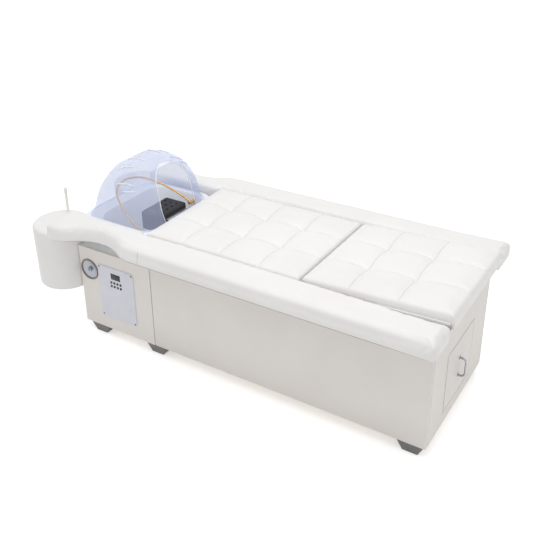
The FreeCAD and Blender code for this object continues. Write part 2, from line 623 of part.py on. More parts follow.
def build_leg_rest():
    """Lifting leg rest: board, cushion and side plates, on two pins in the armrests and two rubber stops."""
    tilt = FreeCAD.Placement(Vector(0, 0, 0), FreeCAD.Rotation(Vector(0, 1, 0), -v.leg_tilt_angle),
                             Vector(v.pivot_x, 0, v.pivot_z))
    head = v.split + v.split_gap / 2
    foot = v.rail_foot - v.leg_foot_gap
    low = v.deck_top + v.leg_board_lift
    half_board = v.rail_inner - v.leg_side_gap
    sheet = Part.makeBox(foot - head, 2 * half_board, v.leg_board_thickness, Vector(head, -half_board, low))
    keep("leg_board", solid("leg_board", sheet)).Placement = tilt
    pad_base = low + v.leg_board_thickness + v.soft_gap
    shape = cushion_shape(head, foot, v.rail_inner - v.leg_cushion_side_gap, pad_base, v.leg_cushion_thickness,
                          round(v.leg_rows_count))
    keep("leg_cushion", solid("leg_cushion", shape)).Placement = tilt

    plates = []
    pins = []
    for side in (-1, 1):
        inner = side * half_board
        eye_centre = Vector(v.pivot_x, inner, v.pivot_z)
        across = Vector(0, side * v.pivot_plate_thickness, 0)
        web = [(v.pivot_x - v.pivot_eye_radius, v.pivot_z), (v.pivot_x + v.pivot_eye_radius, v.pivot_z),
               (v.pivot_x + v.pivot_plate_length, low + v.leg_board_thickness),
               (v.pivot_x + v.pivot_plate_length, low), (v.pivot_x - v.pivot_eye_radius, low)]
        outline = Part.makePolygon([Vector(x, inner, z) for x, z in web + web[:1]])
        flat = Part.Face(outline).extrude(across)
        eye = Part.makeCylinder(v.pivot_eye_radius, v.pivot_plate_thickness, eye_centre, Vector(0, side, 0))
        hole = Part.makeCylinder(v.pivot_pin_radius + v.pivot_running_gap,
                                 v.pivot_plate_thickness + 2 * v.overrun,
                                 eye_centre - Vector(0, side * v.overrun, 0), Vector(0, side, 0))
        plates.append(solid(f"pivot_plate_{len(plates) + 1}", flat.fuse(eye).removeSplitter().cut(hole)))
        wall = Vector(v.pivot_x, side * v.rail_inner, v.pivot_z)
        flange = Part.makeCylinder(v.pivot_flange_radius, v.pivot_flange_thickness, wall, Vector(0, -side, 0))
        pin = Part.makeCylinder(v.pivot_pin_radius, v.pivot_flange_thickness + v.pivot_pin_length, wall,
                                Vector(0, -side, 0))
        pins.append(solid(f"pivot_pin_{len(pins) + 1}", flange.fuse(pin).removeSplitter()))
    keep("leg_pivot_plates", group("leg_pivot_plates", plates)).Placement = tilt
    keep("leg_pivot_pins", group("leg_pivot_pins", pins))

    # the stops end just under the tilted board
    stop_x = v.rail_foot - v.leg_stop_from_foot
    slope = math.radians(v.leg_tilt_angle)
    drop = v.pivot_z - low
    run = stop_x - v.leg_stop_radius - v.pivot_x - drop * math.sin(slope)
    top = v.pivot_z - drop * math.cos(slope) + run * math.tan(slope) - v.soft_gap
    stops = []
    for side in (-1, 1):
        stop = turned(f"leg_stop_{len(stops) + 1}",
                      [(0, 0), (v.leg_stop_radius, 0), (v.leg_stop_tip_radius, top - v.deck_top),
                       (0, top - v.deck_top)])
        stop.Placement.Base = Vector(stop_x, side * v.leg_stop_offset, v.deck_top)
        stops.append(stop)
    keep("leg_stops", group("leg_stops", stops))


def build_drawer():
    """Drawer front, open box and bow handle, with the guide boards and angle runners that carry it."""
    front = plate("drawer_front", "drawer_width", "drawer_front_height", "drawer_front_thickness",
                  "drawer_front_radius")
    front.Placement.Rotation = FreeCAD.Rotation(Vector(1, 1, 1), 120)
    keep("drawer_front", place(front, "drawer_front_back", "-drawer_width / 2", "drawer_base"))

    length = ("drawer_front_back - drawer_depth", "drawer_front_back")
    outer = board("drawer_box_blank", length, ("-box_half", "box_half"),
                  ("box_base", "box_base + drawer_box_height"))
    inner = board("drawer_box_hollow", ("drawer_front_back - drawer_depth + drawer_wall",
                                        "drawer_front_back - drawer_wall"),
                  ("-box_half + drawer_wall", "box_half - drawer_wall"),
                  ("box_base + drawer_base_thickness", "box_base + drawer_box_height + overrun"))
    keep("drawer_box", cut("drawer_box", outer, inner))

    handle = new_body("handle_bow")
    path = new_sketch(handle, "handle_path", "XZ_Plane")
    half = v.handle_span / 2
    bend = v.handle_bend_radius
    reach = v.handle_reach
    diagonal = bend * math.cos(math.radians(45))
    draw_edges(path, [
        Part.LineSegment(Vector(0, -half, 0), Vector(reach - bend, -half, 0)),
        Part.Arc(Vector(reach - bend, -half, 0),
                 Vector(reach - bend + diagonal, -half + bend - diagonal, 0), Vector(reach, bend - half, 0)),
        Part.LineSegment(Vector(reach, bend - half, 0), Vector(reach, half - bend, 0)),
        Part.Arc(Vector(reach, half - bend, 0),
                 Vector(reach - bend + diagonal, half - bend + diagonal, 0), Vector(reach - bend, half, 0)),
        Part.LineSegment(Vector(reach - bend, half, 0), Vector(0, half, 0))])
    section = new_sketch(handle, "handle_section", "YZ_Plane")
    draw_circle(section, 0, -half, v.handle_radius)
    doc.recompute()
    sweep = handle.newObject("PartDesign::AdditivePipe", "handle_sweep")
    sweep.Profile = section
    sweep.Spine = (path, [f"Edge{n}" for n in range(1, 6)])
    place(handle, "foot_face", "0", "handle_z")
    doc.recompute()
    roses = []
    for name, sign in (("low", "-"), ("high", "+")):
        rose = doc.addObject("Part::Cylinder", f"handle_rose_{name}")
        rose.Placement.Rotation = FreeCAD.Rotation(Vector(0, 1, 0), 90)
        rose.setExpression("Radius", full("handle_rose_radius"))
        rose.setExpression("Height", full("handle_rose_thickness"))
        roses.append(place(rose, "foot_face", "0", f"handle_z {sign} handle_span / 2"))
    keep("drawer_handle", fuse("drawer_handle", handle, *roses))

    guides = []
    runners = []
    run = ("drawer_front_back - drawer_depth", "foot_face - panel_thickness")
    for name, side in (("near", -1), ("far", 1)):
        guide_y = on_side(side, "guide_inner", "guide_inner + guide_thickness")
        wall_y = on_side(side, "guide_inner - runner_thickness", "guide_inner")
        shelf_y = on_side(side, "guide_inner - runner_leg", "guide_inner")
        guides.append(board(f"drawer_guide_{name}", run, guide_y,
                            ("floor_board_top", "floor_board_top + guide_height")))
        shelf = board(f"runner_shelf_{name}", run, shelf_y,
                      ("box_base - soft_gap - runner_thickness", "box_base - soft_gap"))
        wall = board(f"runner_wall_{name}", run, wall_y, ("box_base - soft_gap - runner_thickness",
                                                          "box_base + runner_leg"))
        runners.append(fuse(f"runner_{name}", shelf, wall))
    keep("drawer_guides", group("drawer_guides", guides))
    keep("drawer_runners", group("drawer_runners", runners))


def bowl_solid(grow):
    """The bowl's cavity, or its outside when grown by the wall."""
    top = rounded_wire(v.bowl_x, v.rim_top, v.bowl_half_length + grow, v.bowl_half_width + grow,
                       v.bowl_corner + grow)
    floor = rounded_wire(v.bowl_x, v.bowl_bottom - grow, v.bowl_floor_half_length + grow,
                         v.bowl_floor_half_width + grow, v.bowl_floor_corner + grow)
    return Part.makeLoft([floor, top], True, True)


def build_basin():
    """Basin with its rim, strainer, drain pipe, neck rest and bracket, and the brass spray ring."""
    cavity = bowl_solid(0)
    rim = Part.Face(rounded_wire(v.rim_x, v.frame_top, v.rim_half_length, v.rim_half_width, v.rim_corner))
    rim = rim.extrude(Vector(0, 0, v.rim_thickness))
    drain_floor = v.bowl_bottom - v.bowl_wall
    drain = Part.makeCylinder(v.drain_radius, v.bowl_wall + 2 * v.overrun,
                              Vector(v.bowl_x, 0, drain_floor - v.overrun))
    shape = bowl_solid(v.bowl_wall).fuse(rim).cut(cavity).cut(drain).removeSplitter()
    keep("basin", solid("basin", shape))

    disc = Part.makeCylinder(v.drain_radius - v.strainer_gap, v.strainer_thickness,
                             Vector(v.bowl_x, 0, drain_floor))
    for number in range(round(v.strainer_holes_count)):
        turn = 2 * math.pi * number / v.strainer_holes_count
        spot = Vector(v.bowl_x + v.strainer_pitch_radius * math.cos(turn),
                      v.strainer_pitch_radius * math.sin(turn), drain_floor - v.overrun)
        disc = disc.cut(Part.makeCylinder(v.strainer_hole_radius, v.strainer_thickness + 2 * v.overrun, spot))
    keep("drain_strainer", solid("drain_strainer", disc))
    tube = post("drain_tube", "drain_pipe_radius", "bowl_x", "0", ("tank_top", "bowl_bottom - bowl_wall"))
    bore = post("drain_bore", "drain_pipe_radius - drain_pipe_wall", "bowl_x", "0",
                ("tank_top - overrun", "bowl_bottom"))
    keep("drain_pipe", cut("drain_pipe", tube, bore))

    neck = new_body("neck_rest")
    block = new_sketch(neck, "neck_plan", "XY_Plane")
    draw_polygon(block, [(-v.neck_depth, -v.neck_half_width), (0, -v.neck_half_width), (0, v.neck_half_width),
                         (-v.neck_depth, v.neck_half_width)])
    blank = pad(neck, block, "neck_height", "neck_block")
    round_edges(neck, blank, above_base, "neck_edge_radius", "neck_edges")
    holes = new_sketch(neck, "neck_holes", "XY_Plane")
    holes.AttachmentOffset.Base = Vector(0, 0, v.neck_height)
    rows = round(v.neck_hole_rows_count)
    columns = round(v.neck_hole_columns_count)
    for row in range(rows):
        for column in range(columns):
            draw_circle(holes, -v.neck_depth / 2 + (row - (rows - 1) / 2) * v.neck_hole_pitch,
                        (column - (columns - 1) / 2) * v.neck_hole_pitch, v.neck_hole_radius)
    pocket(neck, holes, "neck_hole_depth", "neck_vents")
    keep("neck_rest", place(neck, "neck_foot", "0", "neck_bottom"))

    shelf = board("neck_shelf", ("neck_foot - neck_depth", "neck_foot + bracket_thickness"),
                  ("-bracket_half_width", "bracket_half_width"),
                  ("neck_bottom - bracket_thickness", "neck_bottom"))
    web = board("neck_web", ("neck_foot", "neck_foot + bracket_thickness"),
                ("-bracket_half_width", "bracket_half_width"),
                ("neck_bottom - bracket_thickness", "rim_top + bracket_thickness"))
    lip = board("neck_lip", ("neck_foot", "neck_foot + bracket_lip"),
                ("-bracket_half_width", "bracket_half_width"), ("rim_top", "rim_top + bracket_thickness"))
    keep("neck_bracket", fuse("neck_bracket", shelf, web, lip))

    build_spray_ring(cavity)


def build_spray_ring(cavity):
    """Brass hoop of three tangent arcs, leaning to the head end, between two bosses on the bowl's walls."""
    wide = v.ring_half_width
    depth = v.ring_depth
    small = v.ring_apex_radius
    large = (small ** 2 - wide ** 2 - (depth - small) ** 2) / (2 * (small - wide))
    flank = Vector(wide - large, 0, 0)
    apex = Vector(0, depth - small, 0)
    joint = flank + (apex - flank).normalize() * large
    flank_mid = flank + ((joint + Vector(wide, 0, 0)) * 0.5 - flank).normalize() * large
    lean = math.radians(v.ring_tilt_angle)

    def lift(point):
        """Take a point of the hoop's own plane to its leaning place."""
        return Vector(v.ring_x - point.y * math.cos(lean), point.x, v.ring_z + point.y * math.sin(lean))

    def across(point):
        """The same point on the hoop's other half."""
        return Vector(-point.x, point.y, 0)

    path = Part.Wire([
        Part.Arc(lift(Vector(wide, 0, 0)), lift(flank_mid), lift(joint)).toShape(),
        Part.Arc(lift(joint), lift(Vector(0, depth, 0)), lift(across(joint))).toShape(),
        Part.Arc(lift(across(joint)), lift(across(flank_mid)), lift(Vector(-wide, 0, 0))).toShape()])
    start = lift(Vector(wide, 0, 0))
    along = Vector(-math.cos(lean), 0, math.sin(lean))
    section = Part.Wire(Part.makeCircle(v.ring_pipe_radius, start, along))
    keep("spray_ring", solid("spray_ring", path.makePipeShell([section], True, False)))

    bosses = []
    for side in (-1, 1):
        start = Vector(v.ring_x, side * (wide - v.ring_boss_overlap), v.ring_z)
        stub = Part.makeCylinder(v.ring_boss_radius, v.bowl_half_width, start, Vector(0, side, 0))
        bosses.append(solid(f"ring_boss_{len(bosses) + 1}", stub.common(cavity)))
    keep("ring_bosses", group("ring_bosses", bosses))


def hood_wall_solid(inset):
    """The bell's outside with its flared foot, or its hollow when drawn in by the wall."""
    base = v.rim_top + v.hood_seat_gap
    power = v.hood_profile_power_share
    wires = []
    for share in HOOD_LEVEL_SHARES + (v.hood_top_share,):
        width = (1 - share ** power) ** (1 / power)
        flare = max(0, 1 - share / v.hood_flare_share) ** 2
        half_x = (v.hood_half_length - v.hood_waist_draw - inset) * width + v.hood_waist_draw * flare
        half_y = (v.hood_half_width - inset) * width
        wires.append(rounded_wire(v.rim_x + v.hood_lean * share, base + (v.hood_height - inset) * share,
                                  half_x, half_y, half_x * v.hood_corner_share))
    return Part.makeLoft(wires, True, False)


def build_hood():
    """Translucent dome with a flange at its foot and an arched opening for the neck."""
    base = v.rim_top + v.hood_seat_gap
    shell = hood_wall_solid(0)
    half_x = v.hood_half_length + v.hood_flange
    half_y = v.hood_half_width + v.hood_flange
    flange = Part.Face(rounded_wire(v.rim_x, base, half_x, half_y, half_x * v.hood_corner_share))
    flange = flange.extrude(Vector(0, 0, v.hood_flange_thickness))
    low = base - v.overrun
    points = [Vector(0, -v.opening_base_half, low), Vector(0, -v.opening_waist_half, base + v.opening_waist_height),
              Vector(0, -v.opening_shoulder_half, base + v.opening_shoulder_height),
              Vector(0, 0, base + v.opening_top_height)]
    far = [Vector(p.x, -p.y, p.z) for p in points]
    arch = Part.Wire([Part.Arc(points[0], points[1], points[2]).toShape(),
                      Part.Arc(points[2], points[3], far[2]).toShape(),
                      Part.Arc(far[2], far[1], far[0]).toShape(),
                      Part.LineSegment(far[0], points[0]).toShape()])
    arch.translate(Vector(v.rim_foot - v.opening_reach, 0, 0))
    doorway = Part.Face(arch).extrude(Vector(v.opening_reach + v.rim_half_length, 0, 0))
    shape = shell.fuse(flange).cut(hood_wall_solid(v.hood_wall)).cut(doorway).removeSplitter()
    keep("hood", solid("hood", shape))


def build_circulation():
    """Tank, pump, heater and supply pipe inside the head cabinet."""
    tank = plate("water_tank", "tank_length", "tank_width", "tank_height", "tank_edge_radius")
    keep("water_tank", place(tank, "tank_head", "tank_near", "floor_board_top"))
    keep("tank_cap", post("tank_cap", "cap_radius", "tank_head + cap_inset", "tank_near + cap_inset",
                          ("tank_top", "tank_top + cap_height")))
    foot = board("pump_foot", ("ring_x - pump_base_side / 2", "ring_x + pump_base_side / 2"),
                 ("pump_offset - pump_base_side / 2", "pump_offset + pump_base_side / 2"),
                 ("floor_board_top", "floor_board_top + pump_base_height"))
    barrel = post("pump_barrel", "pump_radius", "ring_x", "pump_offset",
                  ("floor_board_top", "floor_board_top + pump_base_height + pump_height"))
    keep("circulation_pump", fuse("circulation_pump", foot, barrel))
    rise = ("floor_board_top + pump_base_height + pump_height", "rim_top - supply_top")
    pipe = post("supply_tube", "supply_pipe_radius", "ring_x", "pump_offset", rise)
    bore = post("supply_bore", "supply_pipe_radius - supply_pipe_wall", "ring_x", "pump_offset",
                (rise[0] + " - overrun", rise[1] + " + overrun"))
    keep("supply_pipe", cut("supply_pipe", pipe, bore))
    keep("water_heater", crossbar("water_heater", "heater_radius", "cabinet_foot - heater_inset",
                                  ("-heater_length", "0"), "floor_board_top + heater_radius"))


def build_controls():
    """Control plate with display and push buttons, and the round dial beside it."""
    panel = plate("control_plate", "plate_width", "plate_height", "plate_thickness", "plate_corner")
    cutouts = new_sketch(panel, "plate_cutouts", "XY_Plane")
    middle = v.plate_width / 2
    window_z = v.display_z - v.plate_low
    half_w = v.display_width / 2
    half_h = v.display_height / 2
    draw_polygon(cutouts, [(middle - half_w, window_z - half_h), (middle + half_w, window_z - half_h),
                           (middle + half_w, window_z + half_h), (middle - half_w, window_z + half_h)])
    spots = []
    columns = round(v.button_columns_count)
    for row in range(round(v.button_rows_count)):
        for column in range(columns):
            spots.append(((column - (columns - 1) / 2) * v.button_pitch_x, v.button_z - row * v.button_pitch_z))
    for x, z in spots:
        draw_circle(cutouts, middle + x, z - v.plate_low, v.button_radius + v.button_gap)
    pocket(panel, cutouts, "plate_thickness", "plate_openings", upward=True)
    facing(panel, -1)
    keep("control_plate", place(panel, "plate_foot - plate_width", "-half_width", "plate_low"))

    keep("display_window", board("display_window", ("plate_x - display_width / 2", "plate_x + display_width / 2"),
                                 ("-plate_face - display_proud", "-plate_face - display_proud + display_thickness"),
                                 ("display_z - display_height / 2", "display_z + display_height / 2")))
    card = board("control_card", ("plate_x - board_width / 2", "plate_x + board_width / 2"),
                 ("-half_width + board_gap", "-half_width + board_gap + board_thickness"),
                 ("board_z - board_height / 2", "board_z + board_height / 2"))
    standoffs = []
    for sx in ("-", "+"):
        for sz in ("-", "+"):
            standoffs.append(crossbar(f"standoff_{len(standoffs) + 1}", "standoff_radius",
                                      f"plate_x {sx} (board_width / 2 - 2 * standoff_radius)",
                                      ("-half_width", "-half_width + board_gap + board_thickness"),
                                      f"board_z {sz} (board_height / 2 - 2 * standoff_radius)"))
    keep("control_board", fuse("control_board", card, *standoffs))
    for number, (x, z) in enumerate(spots, start=1):
        button = turned(f"button_{number}", [(0, 0), (v.button_radius, 0), (v.button_radius, v.button_length),
                                             (0, v.button_length)])
        facing(button, 1)
        button.Placement.Base = Vector(v.plate_x + x, -v.plate_face - v.button_proud, z)
        keep(f"button_{number}", button)

    screws = []
    for sx in (-1, 1):
        for low in (v.plate_low + v.plate_screw_inset, v.plate_low + v.plate_height - v.plate_screw_inset):
            screw = turned(f"plate_screw_{len(screws) + 1}",
                           [(0, 0), (v.screw_head_radius, 0), (v.screw_head_radius / 2, v.screw_head_height),
                            (0, v.screw_head_height)])
            facing(screw, -1)
            x = v.plate_x + sx * (v.plate_width / 2 - v.plate_screw_inset)
            screw.Placement.Base = Vector(x, -v.plate_face, low)
            screws.append(screw)
    keep("plate_screws", group("plate_screws", screws))

    inner = v.dial_radius - v.dial_bezel_width
    bezel = turned("dial_bezel", [(inner, 0), (v.dial_radius, 0), (v.dial_radius - v.dial_proud / 2, v.dial_proud),
                                  (inner + v.dial_proud / 2, v.dial_proud)])
    facing(bezel, -1)
    keep("dial_bezel", place(bezel, "dial_x", "-half_width", "dial_z"))
    rim = v.dial_radius - v.dial_hole_gap - v.dial_seat_gap
    deep = v.dial_plate_thickness
    stem = v.knob_stem_radius + v.knob_running_gap
    dish = turned("dial_plate", [(stem, 0), (rim, 0), (rim, deep), (inner, deep),
                                 (rim * v.dial_dish_share, deep - v.dial_dish_depth),
                                 (stem, deep - v.dial_dish_depth)])
    facing(dish, -1)
    keep("dial_plate", place(dish, "dial_x", "-half_width + dial_plate_thickness", "dial_z"))
    face = v.knob_gap - v.dial_dish_depth
    knob = turned("dial_cap", [(0, face - v.knob_stem_length), (v.knob_stem_radius, face - v.knob_stem_length),
                               (v.knob_stem_radius, face), (v.knob_radius, face),
                               (v.knob_radius - v.knob_gap, face + v.knob_height), (0, face + v.knob_height)])
    grip = doc.addObject("Part::Box", "dial_grip")
    grip.setExpression("Length", full("knob_grip_width"))
    grip.setExpression("Width", full("2 * knob_radius - 2 * knob_grip_rise"))
    grip.setExpression("Height", full("knob_height + knob_grip_rise"))
    place(grip, "-knob_grip_width / 2", "knob_grip_rise - knob_radius", "knob_gap - dial_dish_depth")
    turn = fuse("dial_knob", knob, grip)
    facing(turn, -1)
    keep("dial_knob", place(turn, "dial_x", "-half_width", "dial_z"))


def build_wand():
    """Hand shower that stands in a socket in the near pod."""
    bore = v.wand_radius + v.wand_gap
    tube = bore + v.socket_wall
    deep = -v.wand_shank - v.socket_base
    socket = turned("wand_socket", [(0, deep), (tube, deep), (tube, 0), (v.socket_flange, 0),
                                    (v.socket_flange, v.socket_flange_height), (bore, v.socket_flange_height),
                                    (bore, -v.wand_shank), (0, -v.wand_shank)])
    keep("wand_socket", place(socket, "wand_x", "wand_y", "pod_top"))
    neck = v.wand_length - v.wand_head_length
    wand = turned("shower_wand", [(0, v.wand_gap - v.wand_shank), (v.wand_radius, v.wand_gap - v.wand_shank),
                                  (v.wand_radius, neck), (v.wand_head_radius, neck + v.wand_head_radius),
                                  (v.wand_head_radius, v.wand_length), (0, v.wand_length)])
    keep("shower_wand", place(wand, "wand_x", "wand_y", "pod_top"))


def check_and_export():
    """Stop on any failed object, then write one file for each sub-part."""
    doc.recompute()
    for item in doc.Objects:
        if "Invalid" in item.State or "Error" in item.State:
            raise RuntimeError(f"{item.Label} failed: {item.State}")
    for label, item in nodes.items():
        if item.Shape.isNull() or not item.Shape.isValid() or not item.Shape.Solids:
            raise RuntimeError(f"{label} has no valid solid")
    os.makedirs("parts", exist_ok=True)
    for label, item in nodes.items():
        item.Shape.exportStep(f"parts/{label}.step")
        print(f"{label}: {len(item.Shape.Solids)} solid(s), {item.Shape.Volume / 1000:.1f} cm3")


build_carcass()
build_cabinet()
build_feet()
build_armrests()
build_back_cushion()
build_leg_rest()
build_drawer()
build_basin()
build_hood()
build_circulation()
build_controls()
build_wand()
check_and_export()
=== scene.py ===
"""Head spa bed: upholstery, hood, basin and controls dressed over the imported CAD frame.

Lengths are metres in the part's frame: +X to the foot end, -Y to the side with the control plate, +Z up.
"""
import json
import logging
import math
from dataclasses import dataclass, field
from enum import Enum
from typing import Any, Iterable, Optional, Union

import bmesh
import bpy
import numpy as np
from mathutils import Matrix, Vector
from mathutils.bvhtree import BVHTree


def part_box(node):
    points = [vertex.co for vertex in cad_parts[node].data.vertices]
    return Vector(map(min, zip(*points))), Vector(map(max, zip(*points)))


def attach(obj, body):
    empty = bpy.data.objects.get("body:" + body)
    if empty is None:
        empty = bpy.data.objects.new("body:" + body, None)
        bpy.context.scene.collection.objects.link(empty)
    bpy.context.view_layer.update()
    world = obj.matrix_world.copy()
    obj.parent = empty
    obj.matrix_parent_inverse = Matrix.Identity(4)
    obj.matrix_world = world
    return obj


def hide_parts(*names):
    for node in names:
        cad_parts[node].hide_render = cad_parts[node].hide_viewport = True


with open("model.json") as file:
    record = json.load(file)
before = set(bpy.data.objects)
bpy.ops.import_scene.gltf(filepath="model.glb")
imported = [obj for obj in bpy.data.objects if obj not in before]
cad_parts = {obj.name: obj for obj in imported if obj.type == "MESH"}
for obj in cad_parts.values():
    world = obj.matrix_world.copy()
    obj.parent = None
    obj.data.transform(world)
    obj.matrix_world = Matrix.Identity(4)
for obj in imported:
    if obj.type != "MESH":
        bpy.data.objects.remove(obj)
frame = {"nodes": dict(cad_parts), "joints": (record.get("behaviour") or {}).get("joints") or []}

log = logging.getLogger("head_spa_bed")

MM = 0.001

# CAD meshes: how far apart points are joined, which edges stay crisp, and which are softened
WELD_REACH = 0.01 * MM
SMOOTH_ANGLE = math.radians(35)
BEVEL_ANGLE = math.radians(40)
BEVEL_STEPS = 3

# beads: thickness of the tips, and how fast it grows to the full one
TIP_SHARE = 0.2
TIP_RISE = 8

# covers in the cloth simulation
FILL_FRAMES = 20
COVER_STIFFNESS = 25
COVER_BENDING = 1.5


class Body(Enum):
    """CAD bodies that dressed pieces ride on."""

    BED = "bed"
    LEG_REST = "leg_rest"
    HOOD = "hood"
    DIAL = "dial"


class Slot(Enum):
    """Names of material slots in the record."""

    PAD = "vinyl_pad"
    PANEL = "vinyl_panel"
    HOOD = "hood_plastic"
    BLACK = "black_plastic"


def linear(code: str) -> tuple[float, float, float, float]:
    """Turn an sRGB hex colour to linear.

    Args:
        code: Six hex digits after a hash sign.
    Returns:
        Linear red, green and blue, and an alpha of one.
    """
    shares = [int(code[n:n + 2], 16) / 255 for n in (1, 3, 5)]
    channels = [s / 12.92 if s <= 0.04045 else ((s + 0.055) / 1.055) ** 2.4 for s in shares]
    return (channels[0], channels[1], channels[2], 1.0)


def per_metre(size_mm: float) -> float:
    """Texture scale of a pattern that repeats after a size in millimetres."""
    return 1.0 / (size_mm * MM)


def set_up(tree: bpy.types.NodeTree, node: bpy.types.Node, settings: Optional[dict] = None,
           links: Optional[dict] = None) -> bpy.types.Node:
    """Give a shader node its values and links.

    Args:
        tree: The material's or world's node tree.
        node: A node of that tree.
        settings: Values by input name or number, or by property name; "stops" are places and hex colours of a ramp.
        links: Source sockets by input name or number.
    Returns:
        The same node.
    """
    for key, value in (settings or {}).items():
        if key == "stops":
            for stop, (place, code) in zip(node.color_ramp.elements, value):
                stop.position, stop.color = place, linear(code)
        elif isinstance(key, int) or key in node.inputs:
            node.inputs[key].default_value = value
        else:
            setattr(node, key, value)
    for key, source in (links or {}).items():
        tree.links.new(source, node.inputs[key])
    return node


def add_node(tree: bpy.types.NodeTree, kind: str, settings: Optional[dict] = None,
             links: Optional[dict] = None) -> bpy.types.Node:
    """Add one shader node, with the settings and links that set_up takes."""
    return set_up(tree, tree.nodes.new(kind), settings, links)


def new_material(name: str) -> tuple[bpy.types.Material, bpy.types.NodeTree, bpy.types.Node, bpy.types.NodeSocket]:
    """Start a material.

    Args:
        name: The finish's name.
    Returns:
        The material, its tree, its surface shader and the object coordinates in metres.
    """
    material = bpy.data.materials.new(name)
    material.use_nodes = True
    tree = material.node_tree
    shader = next(n for n in tree.nodes if n.type == "BSDF_PRINCIPLED")
    place = add_node(tree, "ShaderNodeTexCoord").outputs["Object"]
    return material, tree, shader, place


@dataclass(frozen=True)
class Leatherette:
    """PVC-coated upholstery cloth, embossed and calendered: a soft satin skin with a pebbled grain."""

    name: str
    colour: str
    tint: str
    grain_mm: float = 2.4
    roughness: float = 0.46
    relief: float = 0.22

    def make(self) -> bpy.types.Material:
        """Build the material.

        Returns:
            Pebbled leatherette with slow colour drift and uneven gloss.
        """
        material, tree, shader, place = new_material(self.name)
        # real emboss cells are near 1 mm; drawn at 2.4 mm so that they show
        cells = add_node(tree, "ShaderNodeTexVoronoi", {"feature": "SMOOTH_F1", "Scale": per_metre(self.grain_mm)},
                         {"Vector": place})
        creases = add_node(tree, "ShaderNodeTexNoise", {"Scale": per_metre(28), "Detail": 5.0}, {"Vector": place})
        drift = add_node(tree, "ShaderNodeTexNoise", {"Scale": per_metre(240), "Detail": 2.0}, {"Vector": place})
        colour = add_node(tree, "ShaderNodeValToRGB", {"stops": ((0.3, self.tint), (0.62, self.colour))},
                          {"Fac": drift.outputs["Fac"]})
        gloss = add_node(tree, "ShaderNodeMapRange",
                         {"To Min": self.roughness - 0.07, "To Max": self.roughness + 0.07},
                         {"Value": creases.outputs["Fac"]})
        grain = add_node(tree, "ShaderNodeBump", {"Strength": self.relief, "Distance": 0.5 * MM},
                         {"Height": cells.outputs["Distance"]})
        skin = add_node(tree, "ShaderNodeBump", {"Strength": 0.10, "Distance": 1.5 * MM},
                        {"Height": creases.outputs["Fac"], "Normal": grain.outputs["Normal"]})
        set_up(tree, shader, {"IOR": 1.5, "Sheen Weight": 0.08},
               {"Base Color": colour.outputs["Color"], "Roughness": gloss.outputs["Result"],
                "Normal": skin.outputs["Normal"]})
        return material


@dataclass(frozen=True)
class MouldedPlastic:
    """Injection-moulded plastic or rubber: even colour with the tool's fine grit in its gloss."""

    name: str
    colour: str
    tint: str
    roughness: float
    grit_mm: float = 1.6
    relief: float = 0.05
    ior: float = 1.49

    def make(self) -> bpy.types.Material:
        """Build the material.

        Returns:
            Moulded plastic with a fine grit and slight flow marks.
        """
        material, tree, shader, place = new_material(self.name)
        # the tool's grit is near 0.1 mm; drawn coarser so that it shows
        grit = add_node(tree, "ShaderNodeTexNoise", {"Scale": per_metre(self.grit_mm), "Detail": 3.0},
                        {"Vector": place})
        flow = add_node(tree, "ShaderNodeTexNoise", {"Scale": per_metre(60), "Detail": 2.0}, {"Vector": place})
        colour = add_node(tree, "ShaderNodeValToRGB", {"stops": ((0.35, self.tint), (0.6, self.colour))},
                          {"Fac": flow.outputs["Fac"]})
        gloss = add_node(tree, "ShaderNodeMapRange",
                         {"To Min": self.roughness * 0.85, "To Max": self.roughness * 1.15},
                         {"Value": flow.outputs["Fac"]})
        bump = add_node(tree, "ShaderNodeBump", {"Strength": self.relief, "Distance": 0.3 * MM},
                        {"Height": grit.outputs["Fac"]})
        set_up(tree, shader, {"IOR": self.ior},
               {"Base Color": colour.outputs["Color"], "Roughness": gloss.outputs["Result"],
                "Normal": bump.outputs["Normal"]})
        return material


@dataclass(frozen=True)
class FrostedSheet:
    """Thin vacuum-formed PETG sheet: see-through with a pale lavender haze and a glossy skin."""

    name: str
    colour: str
    tint: str
    haze: float = 0.13
    glow: float = 0.16
    roughness: float = 0.14

    def make(self) -> bpy.types.Material:
        """Build the material.

        Returns:
            Hazy see-through plastic with faint waves from the forming, which passes some light on as a soft glow.
        """
        material, tree, shader, place = new_material(self.name)
        waves = add_node(tree, "ShaderNodeTexNoise", {"Scale": per_metre(90), "Detail": 1.0}, {"Vector": place})
        colour = add_node(tree, "ShaderNodeValToRGB", {"stops": ((0.3, self.tint), (0.65, self.colour))},
                          {"Fac": waves.outputs["Fac"]})
        gloss = add_node(tree, "ShaderNodeMapRange",
                         {"To Min": self.roughness - 0.06, "To Max": self.roughness + 0.08},
                         {"Value": waves.outputs["Fac"]})
        bump = add_node(tree, "ShaderNodeBump", {"Strength": 0.05, "Distance": 2.0 * MM},
                        {"Height": waves.outputs["Fac"]})
        set_up(tree, shader, {"IOR": 1.57, "Alpha": self.haze},
               {"Base Color": colour.outputs["Color"], "Roughness": gloss.outputs["Result"],
                "Normal": bump.outputs["Normal"]})
        lit = add_node(tree, "ShaderNodeBsdfTranslucent", links={"Color": colour.outputs["Color"]})
        both = add_node(tree, "ShaderNodeMixShader", {0: self.glow},
                        {1: shader.outputs["BSDF"], 2: lit.outputs["BSDF"]})
        end = next(n for n in tree.nodes if n.type == "OUTPUT_MATERIAL")
        set_up(tree, end, links={"Surface": both.outputs["Shader"]})
        return material


